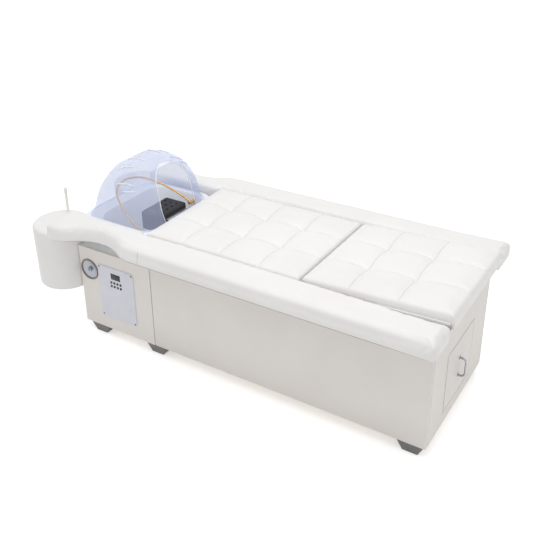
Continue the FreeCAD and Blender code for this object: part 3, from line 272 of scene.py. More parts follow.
@dataclass(frozen=True)
class Metal:
    """Bare metal, brushed along one way or polished: long fine scratches in its gloss."""

    name: str
    colour: str
    tint: str
    roughness: float
    scratch_mm: tuple[float, float, float] = (1.2, 1.2, 40.0)

    def make(self) -> bpy.types.Material:
        """Build the material.

        Returns:
            Metal with stretched scratch marks.
        """
        material, tree, shader, place = new_material(self.name)
        # brush marks are finer than 0.1 mm; drawn wider so that they show
        stretched = add_node(tree, "ShaderNodeMapping", {"Scale": [per_metre(s) for s in self.scratch_mm]},
                             {"Vector": place})
        marks = add_node(tree, "ShaderNodeTexNoise", {"Scale": 1.0, "Detail": 3.0},
                         {"Vector": stretched.outputs["Vector"]})
        colour = add_node(tree, "ShaderNodeValToRGB", {"stops": ((0.3, self.tint), (0.7, self.colour))},
                          {"Fac": marks.outputs["Fac"]})
        gloss = add_node(tree, "ShaderNodeMapRange",
                         {"To Min": self.roughness * 0.7, "To Max": self.roughness * 1.3},
                         {"Value": marks.outputs["Fac"]})
        bump = add_node(tree, "ShaderNodeBump", {"Strength": 0.06, "Distance": 0.2 * MM},
                        {"Height": marks.outputs["Fac"]})
        set_up(tree, shader, {"Metallic": 1.0},
               {"Base Color": colour.outputs["Color"], "Roughness": gloss.outputs["Result"],
                "Normal": bump.outputs["Normal"]})
        return material


@dataclass(frozen=True)
class Plywood:
    """Rotary-cut birch plywood, sanded: pale bands of grain along the sheet."""

    name: str
    colour: str
    tint: str
    grain_mm: float = 9.0
    grain_stretch: float = 14.0

    def make(self) -> bpy.types.Material:
        """Build the material.

        Returns:
            Sanded plywood with grain along X.
        """
        material, tree, shader, place = new_material(self.name)
        sizes_mm = (self.grain_mm * self.grain_stretch, self.grain_mm, self.grain_mm)
        along = add_node(tree, "ShaderNodeMapping", {"Scale": [per_metre(s) for s in sizes_mm]}, {"Vector": place})
        grain = add_node(tree, "ShaderNodeTexNoise", {"Scale": 1.0, "Detail": 6.0, "Distortion": 0.6},
                         {"Vector": along.outputs["Vector"]})
        colour = add_node(tree, "ShaderNodeValToRGB", {"stops": ((0.35, self.tint), (0.62, self.colour))},
                          {"Fac": grain.outputs["Fac"]})
        gloss = add_node(tree, "ShaderNodeMapRange", {"To Min": 0.5, "To Max": 0.7}, {"Value": grain.outputs["Fac"]})
        bump = add_node(tree, "ShaderNodeBump", {"Strength": 0.12, "Distance": 0.4 * MM},
                        {"Height": grain.outputs["Fac"]})
        set_up(tree, shader, links={"Base Color": colour.outputs["Color"], "Roughness": gloss.outputs["Result"],
                                    "Normal": bump.outputs["Normal"]})
        return material


def made(finish: Union[Leatherette, MouldedPlastic, FrostedSheet, Metal, Plywood]) -> Any:
    """A dataclass field whose material is made along with its dataclass."""
    return field(default_factory=finish.make)


@dataclass
class Finishes:
    """Every finish of the bed, made once."""

    pad: bpy.types.Material = made(Leatherette("white leatherette", "#F2F1EF", "#EFEDEB"))
    panel: bpy.types.Material = made(Leatherette("cream leatherette", "#EDE8E3", "#E9E4DF", roughness=0.5))
    hood: bpy.types.Material = made(FrostedSheet("hazy PETG sheet", "#DCE4FA", "#D4DEF8"))
    bead: bpy.types.Material = made(FrostedSheet("thick PETG bead", "#FBFCFF", "#F6F8FF", haze=0.97, glow=0.06))
    # welt cords on the cushion seams; their grey is painted shade of the seam valleys
    welt_shade: bpy.types.Material = made(Leatherette("welt leatherette greyed as painted seam shade", "#DAD8D6", "#D4D2D0"))
    # dark beads for the arm seam and hem: painted shade of the seam line and of the shadow line under the arm pad
    shaded_hem: bpy.types.Material = made(Leatherette("leatherette darkened as painted seam shade", "#BDB6B0", "#B5AEA8"))
    # a dark strip standing in for painted shade in the gap round the drawer front
    gap_shade: bpy.types.Material = made(MouldedPlastic("dark PVC strip as painted gap shade", "#9A918B", "#8F8680", 0.5))
    ivory: bpy.types.Material = made(MouldedPlastic("ivory ABS", "#FAF8F1", "#F5F2EA", 0.25))
    basin: bpy.types.Material = made(MouldedPlastic("gloss acrylic", "#FAFBFD", "#F4F6FA", 0.16))
    brass: bpy.types.Material = made(Metal("polished brass", "#EBC084", "#D9A661", 0.2))
    steel: bpy.types.Material = made(Metal("brushed stainless steel", "#C6C7CA", "#A9AAAE", 0.32))
    chrome: bpy.types.Material = made(Metal("chromed steel", "#B4B6BC", "#A3A6AD", 0.08))
    dark_steel: bpy.types.Material = made(Metal("blackened steel", "#4A4A4D", "#38383A", 0.4))
    aluminium: bpy.types.Material = made(Metal("satin aluminium", "#B2B4BC", "#A3A6AF", 0.42))
    rubber: bpy.types.Material = made(MouldedPlastic("moulded rubber", "#232326", "#19191B", 0.62, relief=0.2))
    foot: bpy.types.Material = made(MouldedPlastic("grey nylon", "#7E7C7A", "#6E6C6A", 0.5, relief=0.12))
    enamel: bpy.types.Material = made(MouldedPlastic("stove enamel on steel", "#E0E0E9", "#DCDCE6", 0.3))
    black: bpy.types.Material = made(MouldedPlastic("gloss black ABS", "#161618", "#0E0E10", 0.2))
    bezel: bpy.types.Material = made(MouldedPlastic("dark grey ABS", "#8C857E", "#7E7770", 0.42))
    board: bpy.types.Material = made(MouldedPlastic("glass-epoxy board", "#2E6B45", "#215236", 0.4))
    tank: bpy.types.Material = made(MouldedPlastic("blow-moulded polyethylene", "#DFE0E0", "#CFD1D1", 0.45,
                                                   relief=0.12))
    wood: bpy.types.Material = made(Plywood("birch plywood", "#E0CBA5", "#C9AC7D"))


def paint(nodes: Iterable[str], material: bpy.types.Material, rounding_mm: float = 0.0) -> None:
    """Give CAD nodes a finish and softened edges.

    Args:
        nodes: Names of CAD nodes.
        material: Their finish.
        rounding_mm: Radius that their sharp edges get.
    """
    for name in nodes:
        piece = frame["nodes"][name]
        mesh = piece.data
        mesh.materials.clear()
        mesh.materials.append(material)
        if "custom_normal" in mesh.attributes:
            mesh.attributes.remove(mesh.attributes["custom_normal"])
        mesh.shade_smooth()
        weld = piece.modifiers.new("joined facets", "WELD")
        weld.merge_threshold = WELD_REACH
        if rounding_mm:
            bevel = piece.modifiers.new("softened edges", "BEVEL")
            bevel.width = rounding_mm * MM
            bevel.segments = BEVEL_STEPS
            bevel.limit_method = "ANGLE"
            bevel.angle_limit = BEVEL_ANGLE
            bevel.harden_normals = False
        split = piece.modifiers.new("crisp edges", "EDGE_SPLIT")
        split.split_angle = SMOOTH_ANGLE
        log.info("dressed %s", name)


def new_piece(name: str, mesh: bpy.types.Mesh, material: bpy.types.Material, body: Body,
              nodes: Iterable[str] = ()) -> bpy.types.Object:
    """Put a finished mesh into the scene.

    Args:
        name: Name of the piece.
        mesh: Its mesh, in the part's frame.
        material: Its finish.
        body: CAD body that it rides on.
        nodes: CAD nodes that it stands for.
    Returns:
        The new object.
    """
    piece = bpy.data.objects.new(name, mesh)
    bpy.context.scene.collection.objects.link(piece)
    mesh.materials.clear()
    mesh.materials.append(material)
    mesh.shade_smooth()
    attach(piece, body.value)
    if nodes:
        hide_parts(*nodes)
    log.info("built %s", name)
    return piece


def mesh_from(name: str, points: np.ndarray, faces: list[tuple[int, ...]]) -> bpy.types.Mesh:
    """Make a mesh and turn its faces outwards.

    Args:
        name: Name of the mesh.
        points: Its points as rows.
        faces: Its faces by point number.
    Returns:
        The mesh.
    """
    mesh = bpy.data.meshes.new(name)
    mesh.from_pydata([tuple(p) for p in points], [], faces)
    shape = bmesh.new()
    shape.from_mesh(mesh)
    bmesh.ops.recalc_face_normals(shape, faces=shape.faces)
    shape.to_mesh(mesh)
    shape.free()
    return mesh


def beads(name: str, paths: Iterable[np.ndarray], radius_mm: float, sides: int = 8) -> bpy.types.Mesh:
    """Sweep round beads along paths.

    Args:
        name: Name of the mesh.
        paths: For each bead, points along its middle as rows.
        radius_mm: Half a bead's thickness.
        sides: Number of sides of the round.
    Returns:
        One mesh of closed beads whose ends taper off.
    """
    points: list[np.ndarray] = []
    faces: list[tuple[int, ...]] = []
    for path in paths:
        ahead = np.gradient(path, axis=0)
        ahead /= np.linalg.norm(ahead, axis=1, keepdims=True)
        across = np.cross(ahead[0], np.eye(3)[np.abs(ahead[0]).argmin()])
        start, end = len(points), len(points) + (len(path) - 1) * sides
        for place, way, share in zip(path, ahead, np.linspace(0, 1, len(path))):
            across = across - way * across.dot(way)
            across /= np.linalg.norm(across)
            upward = np.cross(way, across)
            size = radius_mm * MM * min(1.0, TIP_SHARE + TIP_RISE * min(share, 1 - share))
            for angle in np.linspace(0, 2 * math.pi, sides, endpoint=False):
                points.append(place + size * (math.cos(angle) * across + math.sin(angle) * upward))
        faces += [tuple(range(start, start + sides)), tuple(range(end, end + sides))]
        for row in range(start, end, sides):
            for side in range(sides):
                beside = (side + 1) % sides
                faces.append((row + side, row + beside, row + sides + beside, row + sides + side))
    return mesh_from(name, np.array(points), faces)


def coordinates(mesh: bpy.types.Mesh) -> np.ndarray:
    """Read a mesh's points.

    Args:
        mesh: Any mesh.
    Returns:
        Its points as rows.
    """
    flat = np.zeros(len(mesh.vertices) * 3)
    mesh.vertices.foreach_get("co", flat)
    return flat.reshape(-1, 3)


def inflate(mesh: bpy.types.Mesh, held: np.ndarray, pressure: float, cap_mm: float, slack: float) -> None:
    """Blow a closed cover up with Blender's cloth and keep the result in the mesh.

    Args:
        mesh: A closed mesh, changed in place.
        held: Share from 0 to 1 by which each point is held where it is.
        pressure: Air pressure inside the cover.
        cap_mm: Furthest that a point may move.
        slack: Share by which the cover is larger than its foam.
    """
    rest = coordinates(mesh)
    cover = bpy.data.objects.new("cover in work", mesh)
    bpy.context.scene.collection.objects.link(cover)
    group = cover.vertex_groups.new(name="held")
    for number, weight in enumerate(held):
        group.add([number], float(weight), "REPLACE")
    cloth = cover.modifiers.new("cover", "CLOTH")
    cloth.settings.vertex_group_mass = "held"
    cloth.settings.use_pressure = True
    cloth.settings.uniform_pressure_force = pressure
    cloth.settings.shrink_min = -slack
    cloth.settings.effector_weights.gravity = 0.0
    cloth.settings.tension_stiffness = COVER_STIFFNESS
    cloth.settings.compression_stiffness = COVER_STIFFNESS
    cloth.settings.bending_stiffness = COVER_BENDING
    cloth.point_cache.frame_start = 1
    cloth.point_cache.frame_end = FILL_FRAMES
    scene = bpy.context.scene
    for step in range(1, FILL_FRAMES + 1):
        scene.frame_set(step)
    graph = bpy.context.evaluated_depsgraph_get()
    shaped = cover.evaluated_get(graph).to_mesh()
    moved = coordinates(shaped) - rest
    cover.evaluated_get(graph).to_mesh_clear()
    far = np.linalg.norm(moved, axis=1, keepdims=True)
    moved *= np.minimum(1.0, cap_mm * MM / np.maximum(far, 1e-9))
    bpy.data.objects.remove(cover)
    scene.frame_set(1)
    mesh.vertices.foreach_set("co", (rest + moved).ravel())
    mesh.update()


@dataclass
class TuftedCushion:
    """Biscuit-tufted cushion: foam in a cover sewn down along a grid, flat below, with drawn-in sides."""

    name: str
    node: str
    body: Body
    rows: int
    columns: int = 3
    tilt_deg: float = 0.0
    grid_mm: float = 8.0
    edge_mm: float = 12.0
    seam_mm: float = 4.0
    seam_width_mm: float = 3.0
    seam_power: float = 1.1
    pillow_mm: float = 4.0
    pillow_reach_mm: float = 24.0
    tuft_mm: float = 19.0
    tuft_power: float = 2.2
    crown_mm: float = 3.0
    dome_mm: float = 11.0
    dome_reach_mm: float = 75.0
    draw_mm: float = 1.4
    welt_mm: float = 1.1
    # the foot end's reach past its board, how far it hangs down, and where that starts
    nose_mm: float = 0.0
    nose_drop_mm: float = 0.0
    nose_reach_mm: float = 120.0
    hang_mm: float = 6.0
    hang_start: float = 0.4
    # how firmly the filling leaves the seams and the border where they are, and how far from them
    sewn_grip: float = 1.6
    sewn_reach_mm: float = 9.0
    border_grip: float = 1.3
    border_reach_mm: float = 25.0
    pressure: float = 4.0
    cap_mm: float = 5.0
    slack: float = 0.015
    # mesh lines of the cover
    side_rows: int = 5
    seam_offsets_mm: tuple[float, ...] = (-8.0, -4.5, -2.2, -0.9, 0.0, 0.9, 2.2, 4.5, 8.0)
    rim_offsets_mm: tuple[float, ...] = (0.0, 1.2, 3.5, 7.0, 12.0)

    def level(self) -> Matrix:
        """Lay the tilted cushion flat about the leg rest's pivot.

        Returns:
            The turn from its place in the part.
        """
        if not self.tilt_deg:
            return Matrix.Identity(4)
        joint = next(j for j in frame["joints"] if j["name"] == "leg_rest_lift")
        pivot = Matrix.Translation(Vector(joint["pos_m"]))
        return pivot @ Matrix.Rotation(math.radians(self.tilt_deg), 4, "Y") @ pivot.inverted()

    def stations(self, length: float, cells: int) -> np.ndarray:
        """Places of the cover's mesh lines along one side, close together at the seams and the rim.

        Args:
            length: Length of the side.
            cells: Number of squares along it.
        Returns:
            Rising shares from 0 to 1.
        """
        rim = np.array(self.rim_offsets_mm) * MM
        fine = [rim, length - rim]
        fine += [length * n / cells + np.array(self.seam_offsets_mm) * MM for n in range(1, cells)]
        close = np.concatenate(fine)
        grid = self.grid_mm * MM
        even = np.linspace(0, length, round(length / grid) + 1)
        apart = np.abs(even[:, None] - close[None, :]).min(axis=1)
        return np.sort(np.concatenate([close, even[apart > 0.5 * grid]])) / length

    def grid(self, counts: tuple[int, ...]) -> tuple[np.ndarray, list[tuple[int, ...]]]:
        """Number the points on the six sides of a box of cells.

        Args:
            counts: Number of cells along each axis.
        Returns:
            The place of each point in the grid as a row, and the faces by point number.
        """
        index: dict[tuple[int, ...], int] = {}
        faces: list[tuple[int, ...]] = []
        for axis in range(3):
            others = [a for a in range(3) if a != axis]
            for side in (0, counts[axis]):
                for a in range(counts[others[0]]):
                    for b in range(counts[others[1]]):
                        corners = []
                        for da, db in ((0, 0), (1, 0), (1, 1), (0, 1)):
                            key = [0, 0, 0]
                            key[axis], key[others[0]], key[others[1]] = side, a + da, b + db
                            corners.append(index.setdefault(tuple(key), len(index)))
                        faces.append(tuple(corners))
        return np.array(list(index)), faces

    def seams(self, numbers: np.ndarray, lines_at: tuple[np.ndarray, ...]) -> list[np.ndarray]:
        """Find the points along each seam.

        Args:
            numbers: The place of each point in the grid as a row.
            lines_at: Places of the mesh lines along each axis, as shares.
        Returns:
            For each seam, the numbers of its points from end to end.
        """
        found = []
        on_top = numbers[:, 2] == numbers[:, 2].max()
        for column, cells in ((0, self.rows), (1, self.columns)):
            for cell in range(1, cells):
                line = np.abs(lines_at[column] - cell / cells).argmin()
                on_seam = np.flatnonzero((numbers[:, column] == line) & on_top)
                found.append(on_seam[np.argsort(numbers[on_seam, 1 - column])])
        return found

    def shape(self) -> tuple[bpy.types.Mesh, np.ndarray, list[np.ndarray]]:
        """Lay out the sewn cover.

        Returns:
            The closed mesh, lying flat, the share by which each point is held, and the points along each seam.
        """
        turn = np.array(self.level())
        solid = coordinates(frame["nodes"][self.node].data)
        flat = solid @ turn[:3, :3].T + turn[:3, 3]
        low, high = flat.min(0), flat.max(0)
        length, width, tall = high - low
        lines_at = (self.stations(length, self.rows), self.stations(width, self.columns),
                    np.linspace(0, 1, self.side_rows + 1))
        numbers, faces = self.grid(tuple(len(line) - 1 for line in lines_at))
        share = np.stack([lines_at[axis][numbers[:, axis]] for axis in range(3)], axis=1)
        points = low + share * (high - low)
        # distance to the rim and to the nearest seam, and nearness to a tuft
        rim = np.minimum(np.minimum(points[:, 0] - low[0], high[0] - points[:, 0]),
                         np.minimum(points[:, 1] - low[1], high[1] - points[:, 1]))
        lines = []
        near = []
        for column, cells in ((0, self.rows), (1, self.columns)):
            place = share[:, column] * cells
            apart = np.abs(place - np.clip(np.round(place), 1, cells - 1))
            lines.append(apart / cells * (high - low)[column])
            near.append(np.clip(1 - 2 * apart, 0, 1))
        to_line = np.minimum(lines[0], lines[1])
        seam = np.exp(-(to_line / (self.seam_width_mm * MM)) ** self.seam_power)
        pillow = np.exp(-np.minimum(to_line, rim) / (self.pillow_reach_mm * MM))
        tuft = (near[0] * near[1]) ** self.tuft_power
        edge = np.clip(rim / (self.edge_mm * MM), 0, 1)
        round_off = 1 - np.sqrt(np.clip(1 - (1 - edge) ** 2, 0, 1))
        inside = np.minimum(1.0, rim / (2 * self.edge_mm * MM))
        outer = np.clip(1 - rim / (self.dome_reach_mm * MM), 0, 1) ** 2
        drop = self.crown_mm + inside * self.seam_mm * seam + self.pillow_mm * pillow + self.tuft_mm * tuft
        drop = (drop + round_off * self.edge_mm + outer * self.dome_mm) * MM
        # the foot end reaches past its board and hangs down in front of it
        ahead = np.clip(1 - (high[0] - points[:, 0]) / (self.nose_reach_mm * MM), 0, 1)
        points[:, 0] += self.nose_mm * MM * ahead * ahead * (3 - 2 * ahead)
        past = (points[:, 0] - high[0]) / (self.hang_mm * MM)
        hang = self.nose_drop_mm * MM * np.clip(past - self.hang_start, 0, 1)
        points[:, 2] = low[2] - hang + share[:, 2] * (tall - drop + hang)
        # the sides draw in at the middle of each edge and where a seam ends
        middle = np.sin(np.pi * share)
        pull = self.draw_mm * MM * (0.5 + 0.5 * np.exp(-(to_line / (6 * self.seam_width_mm * MM)) ** 2))
        for column, across in ((0, 1), (1, 0)):
            outward = np.where(share[:, column] > 0.5, 1.0, -1.0)
            border = np.exp(-np.minimum(share[:, column], 1 - share[:, column]) * (high - low)[column]
                            / (self.edge_mm * MM))
            belly = np.sin(np.pi * np.clip(share[:, 2], 0, 1))
            points[:, column] -= outward * border * (pull * middle[:, across] + (1 - belly) * self.draw_mm * MM)
        # the seams, the border and the base stay where they are, and the squares between them swell
        sewn = np.clip(self.sewn_grip - to_line / (self.sewn_reach_mm * MM), 0, 1)
        border = np.clip(self.border_grip - rim / (self.border_reach_mm * MM), 0, 1)
        held = np.maximum(np.maximum(sewn, border), (share[:, 2] < 0.5).astype(float))
        return mesh_from(self.name, points, faces), np.clip(held, 0, 1), self.seams(numbers, lines_at)

    def build(self, finishes: Finishes) -> bpy.types.Object:
        """Sew, fill and place the cushion.

        Args:
            finishes: The bed's finishes.
        Returns:
            The cushion.
        """
        mesh, held, seams = self.shape()
        inflate(mesh, held, self.pressure, self.cap_mm, self.slack)
        mesh.transform(self.level().inverted())
        top = coordinates(mesh) + np.array((0, 0, 0.5 * self.welt_mm * MM))
        # the welt beads are a real cord, and their grey colour is painted shade of the seam valleys
        welt_shade_beads = beads(self.name + "_welts_painted_shade", [top[line[2:-2]] for line in seams], self.welt_mm)
        new_piece(welt_shade_beads.name, welt_shade_beads, finishes.welt_shade, self.body)
        piece = new_piece(self.name, mesh, finishes.pad, self.body, [self.node])
        finer = piece.modifiers.new("smooth cover", "SUBSURF")
        finer.levels = finer.render_levels = 1
        return piece


@dataclass
class PaddedArm:
    """Armrest: foam over a board in one leatherette cover, rounded above and flat below."""

    name: str
    node: str
    voxel_mm: float = 7.0
    relax_share: float = 0.5
    relax_rounds: int = 9
    # how firmly the filling leaves the base and the inner side where they are, and how far from them
    base_grip: float = 1.1
    base_fall: float = 2.4
    inner_grip: float = 1.4
    inner_reach_mm: float = 25.0
    pressure: float = 4.0
    cap_mm: float = 5.0
    slack: float = 0.012
    seam_x_mm: float = -278.0
    seam_rise_mm: float = 9.0
    seam_mm: float = 0.9
    seam_points: int = 12
    hem_rise_mm: float = 5.0
    hem_mm: float = 1.7
    hem_inset_mm: float = 12.0
    hem_points: int = 160

    def build(self, finishes: Finishes) -> bpy.types.Object:
        """Wrap and fill the armrest.

        Args:
            finishes: The bed's finishes.
        Returns:
            The armrest.
        """
        source = frame["nodes"][self.node]
        work = bpy.data.objects.new(self.name + "_work", source.data.copy())
        bpy.context.scene.collection.objects.link(work)
        weld = work.modifiers.new("joined facets", "WELD")
        weld.merge_threshold = WELD_REACH
        remesh = work.modifiers.new("even cover", "REMESH")
        remesh.mode = "VOXEL"
        remesh.voxel_size = self.voxel_mm * MM
        relax = work.modifiers.new("relaxed cover", "SMOOTH")
        relax.factor = self.relax_share
        relax.iterations = self.relax_rounds
        graph = bpy.context.evaluated_depsgraph_get()
        mesh = bpy.data.meshes.new_from_object(work.evaluated_get(graph))
        bpy.data.objects.remove(work)
        points = coordinates(mesh)
        low, high = points.min(0), points.max(0)
        # the base and the side towards the cushions stay where they are, and the top and the outer face swell
        tall = (points[:, 2] - low[2]) / (high[2] - low[2])
        inner = np.abs(points[:, 1]) - np.abs(points[:, 1]).min()
        held = np.clip(np.maximum(self.base_grip - tall * self.base_fall,
                                  self.inner_grip - inner / (self.inner_reach_mm * MM)), 0, 1)
        inflate(mesh, held, self.pressure, self.cap_mm, self.slack)
        piece = new_piece(self.name, mesh, finishes.pad, Body.BED, [self.node])
        finer = piece.modifiers.new("smooth cover", "SUBSURF")
        finer.levels = finer.render_levels = 1
        self.sew(piece, low, high, finishes)
        return piece

    def sew(self, piece: bpy.types.Object, low: np.ndarray, high: np.ndarray, finishes: Finishes) -> None:
        """Join the cover's two lengths with an upright seam on the outer face, and hem its lower edge; both are dark
        beads whose colour is painted shade of the seam line and of the shadow line under the pad.

        Args:
            piece: The armrest.
            low: Lowest corner of its box.
            high: Highest corner of its box.
            finishes: The bed's finishes.
        """
        cover = BVHTree.FromObject(piece, bpy.context.evaluated_depsgraph_get())
        outward = math.copysign(1.0, low[1] + high[1])
        shaded_hem = low[2] + self.hem_rise_mm * MM
        inset = self.hem_inset_mm * MM
        heights = np.linspace(shaded_hem, high[2] - self.seam_rise_mm * MM, self.seam_points)
        upright = [(self.seam_x_mm * MM, z) for z in heights]
        level = [(x, shaded_hem) for x in np.linspace(low[0] + inset, high[0] - inset, self.hem_points)]
        # the seam and hem beads are drawn dark as painted shade of the seam line and of the shadow line under the
        # pad
        for suffix, line, radius_mm in (("_seam_shade_line", upright, self.seam_mm), ("_hem_shade_line", level, self.hem_mm)):
            hits = [cover.ray_cast(Vector((x, outward, z)), Vector((0, -outward, 0)))[0] for x, z in line]
            bead = beads(self.name + suffix, [np.array([tuple(hit) for hit in hits])], radius_mm)
            new_piece(bead.name, bead, finishes.shaded_hem, Body.BED)


@dataclass
class Carcass:
    """Box, head cabinet, feet and deck."""

    covered: tuple[str, ...] = ("near_side_panel", "far_side_panel", "cabinet_far_panel", "cabinet_head_panel")
    pierced: tuple[str, ...] = ("foot_panel", "cabinet_near_panel")
    wrapped: tuple[str, ...] = ("deck_board", "leg_board")
    moulded: tuple[str, ...] = ("cabinet_top_board", "basin_frame")
    boards: tuple[str, ...] = ("base_board", "bulkhead", "deck_battens", "drawer_box", "drawer_guides")
    hardware: tuple[str, ...] = ("leg_pivot_plates", "leg_pivot_pins", "drawer_runners", "neck_bracket",
                                 "drain_strainer", "water_heater")
    plumbing: tuple[str, ...] = ("water_tank", "tank_cap", "circulation_pump", "supply_pipe", "drain_pipe")
    edge_mm: float = 3.5
    wrap_edge_mm: float = 1.5
    board_edge_mm: float = 0.8
    hardware_edge_mm: float = 0.4
    foot_edge_mm: float = 2.0
    bolt_edge_mm: float = 0.6
    plumbing_edge_mm: float = 0.8

    def dress(self, finishes: Finishes) -> None:
        """Give the box and its hardware their finishes.

        Args:
            finishes: The bed's finishes.
        """
        paint(self.covered, finishes.panel, self.edge_mm)
        paint(self.pierced, finishes.panel)
        paint(("near_pod", "far_pod"), finishes.pad)
        paint(self.wrapped, finishes.pad, self.wrap_edge_mm)
        paint(self.moulded, finishes.basin, self.wrap_edge_mm)
        paint(self.boards, finishes.wood, self.board_edge_mm)
        paint(self.hardware, finishes.steel, self.hardware_edge_mm)
        paint(("feet",), finishes.foot, self.foot_edge_mm)
        paint(("leg_stops",), finishes.rubber)
        paint(("armrest_bolts",), finishes.dark_steel, self.bolt_edge_mm)
        paint(self.plumbing, finishes.tank, self.plumbing_edge_mm)


@dataclass
class Drawer:
    """Drawer front, its bow handle and a dark strip of painted shade along its opening."""

    edge_mm: float = 3.0
    strip_mm: float = 0.8
    strip_points: int = 30

    def dress(self, finishes: Finishes) -> None:
        """Give the drawer its finishes.

        Args:
            finishes: The bed's finishes.
        """
        paint(("drawer_front",), finishes.panel, self.edge_mm)
        paint(("drawer_handle",), finishes.chrome)
        self.shade_opening_gap(finishes)

    def shade_opening_gap(self, finishes: Finishes) -> None:
        """Lay a thin dark strip as painted shade of the gap along the near side and the top of the drawer's opening.

        Args:
            finishes: The bed's finishes.
        """
        low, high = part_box("drawer_front")
        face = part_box("foot_panel")[1].x
        out = self.strip_mm * MM * 2
        corners = [(low.y - out, low.z - out), (low.y - out, high.z + out), (high.y + out, high.z + out)]
        along = np.linspace(0, 1, self.strip_points)
        paths = [np.stack([np.full(self.strip_points, face), y0 + (y1 - y0) * along, z0 + (z1 - z0) * along], axis=1)
                 for (y0, z0), (y1, z1) in zip(corners, corners[1:])]
        # the dark strips are painted shade of the gap round the drawer front, drawn only on the near side and the
        # top
        new_piece("drawer_gap_shade", beads("drawer_gap_shade", paths, self.strip_mm), finishes.gap_shade, Body.BED)


@dataclass
class HeadEnd:
    """Basin, spray ring, neck rest, hood and hand shower."""

    # three points of each stiffening rib on the hood's near side
    ribs_mm: tuple[tuple[tuple[float, float, float], ...], ...] = (
        ((-612.0, -76.0, 806.0), (-586.0, -60.0, 812.0), (-520.5, -57.3, 811.0)),
        ((-604.0, -140.2, 779.7), (-574.0, -119.2, 792.9), (-506.8, -109.9, 794.0)),
        ((-583.0, -189.6, 734.9), (-535.7, -182.9, 742.8), (-493.2, -179.2, 741.2)),
        ((-536.6, -205.5, 712.8), (-504.0, -197.0, 717.0), (-471.4, -187.3, 720.6)),
    )
    # a point inside the hood, and the distance from it at which rays towards the wall start
    heart_mm: tuple[float, float, float] = (-570.0, 0.0, 600.0)
    ray_mm: float = 600.0
    rib_mm: float = 3.0
    rib_points: int = 17
    lip_mm: float = 1.8
    lip_steps: int = 80
    # half width, lowest and highest place of the doorway's edge, and how far it is ahead of the point inside
    doorway_mm: tuple[float, float, float] = (118.0, 558.0, 796.0)
    doorway_ahead_mm: float = 50.0
    basin_edge_mm: float = 2.0
    wand_edge_mm: float = 0.5

    def dress(self, finishes: Finishes) -> None:
        """Give the head end its finishes.

        Args:
            finishes: The bed's finishes.
        """
        paint(("basin",), finishes.basin, self.basin_edge_mm)
        paint(("spray_ring", "ring_bosses"), finishes.brass)
        paint(("neck_rest",), finishes.rubber)
        paint(("hood",), finishes.hood)
        paint(("wand_socket", "shower_wand"), finishes.ivory, self.wand_edge_mm)
        self.form_ribs(finishes)
        self.form_lip(finishes)

    def form_ribs(self, finishes: Finishes) -> None:
        """Raise the stiffening ribs on both sides of the hood.

        Args:
            finishes: The bed's finishes.
        """
        hood = frame["nodes"]["hood"]
        wall = BVHTree.FromObject(hood, bpy.context.evaluated_depsgraph_get())
        heart = Vector(self.heart_mm) * MM
        along = np.linspace(0, 1, self.rib_points)[:, None]
        paths = []
        for first, middle, last in self.ribs_mm:
            bent = (np.array(first) * (1 - along) * (1 - 2 * along) + np.array(middle) * 4 * along * (1 - along)
                    + np.array(last) * along * (2 * along - 1)) * MM
            for mirror in (1, -1):
                ways = [(heart - Vector((x, y * mirror, z))).normalized() for x, y, z in bent]
                hits = [wall.ray_cast(heart - inward * (self.ray_mm * MM), inward)[0] for inward in ways]
                paths.append(np.array([tuple(hit) for hit in hits]))
        new_piece("hood_ribs", beads("hood_ribs", paths, self.rib_mm), finishes.bead, Body.HOOD)

    def form_lip(self, finishes: Finishes) -> None:
        """Roll a thin lip along the edge of the hood's doorway.

        Args:
            finishes: The bed's finishes.
        """
        shape = bmesh.new()
        shape.from_mesh(frame["nodes"]["hood"].data)
        bmesh.ops.remove_doubles(shape, verts=shape.verts, dist=WELD_REACH)
        heart = Vector(self.heart_mm) * MM
        half_width, lowest, highest, ahead = (size * MM for size in (*self.doorway_mm, self.doorway_ahead_mm))
        outer: dict[int, Vector] = {}
        for edge in shape.edges:
            if len(edge.link_faces) != 2 or edge.calc_face_angle() < SMOOTH_ANGLE:
                continue
            place = (edge.verts[0].co + edge.verts[1].co) / 2
            if abs(place.y) < half_width and place.x > heart.x + ahead and lowest < place.z < highest:
                step = round(math.atan2(place.y, place.z - heart.z) / math.pi * self.lip_steps)
                if step not in outer or place.x > outer[step].x:
                    outer[step] = place
        shape.free()
        path = np.array([outer[step] for step in sorted(outer)])
        path[1:-1] = (path[:-2] + 2 * path[1:-1] + path[2:]) / 4
        new_piece("hood_lip", beads("hood_lip", [path], self.lip_mm), finishes.bead, Body.HOOD)


@dataclass
class Controls:
    """Control plate, display, buttons and dial."""

    # width, height and thickness of the pointer
    pointer_mm: tuple[float, float, float] = (3.0, 8.0, 0.8)
    key_edge_mm: float = 0.5
    bezel_edge_mm: float = 0.8

    def dress(self, finishes: Finishes) -> None:
        """Give the controls their finishes.

        Args:
            finishes: The bed's finishes.
        """
        paint(("control_plate",), finishes.enamel)
        paint(["display_window"] + [f"button_{n}" for n in range(1, 9)], finishes.black, self.key_edge_mm)
        paint(("control_board",), finishes.board)
        paint(("plate_screws",), finishes.dark_steel)
        paint(("dial_bezel",), finishes.bezel, self.bezel_edge_mm)
        paint(("dial_plate", "dial_knob"), finishes.aluminium)
        self.mark_knob(finishes)

    def mark_knob(self, finishes: Finishes) -> None:
        """Set a dark pointer into the knob's face.

        Args:
            finishes: The bed's finishes.
        """
        low, high = (np.array(corner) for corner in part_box("dial_knob"))
        middle = (low + high) / 2
        wide, tall, thick = (side * MM / 2 for side in self.pointer_mm)
        corners = [(x, y, z) for x in (-wide, wide) for y in (-thick, thick) for z in (-tall, tall)]
        points = np.array(corners) + (middle[0], low[1], middle[2] + tall / 2)
        faces = [(0, 1, 3, 2), (4, 5, 7, 6), (0, 1, 5, 4), (2, 3, 7, 6), (0, 2, 6, 4), (1, 3, 7, 5)]
        mesh = mesh_from("dial_pointer", points, faces)
        piece = new_piece("dial_pointer", mesh, finishes.black, Body.DIAL)
        piece.data.shade_flat()


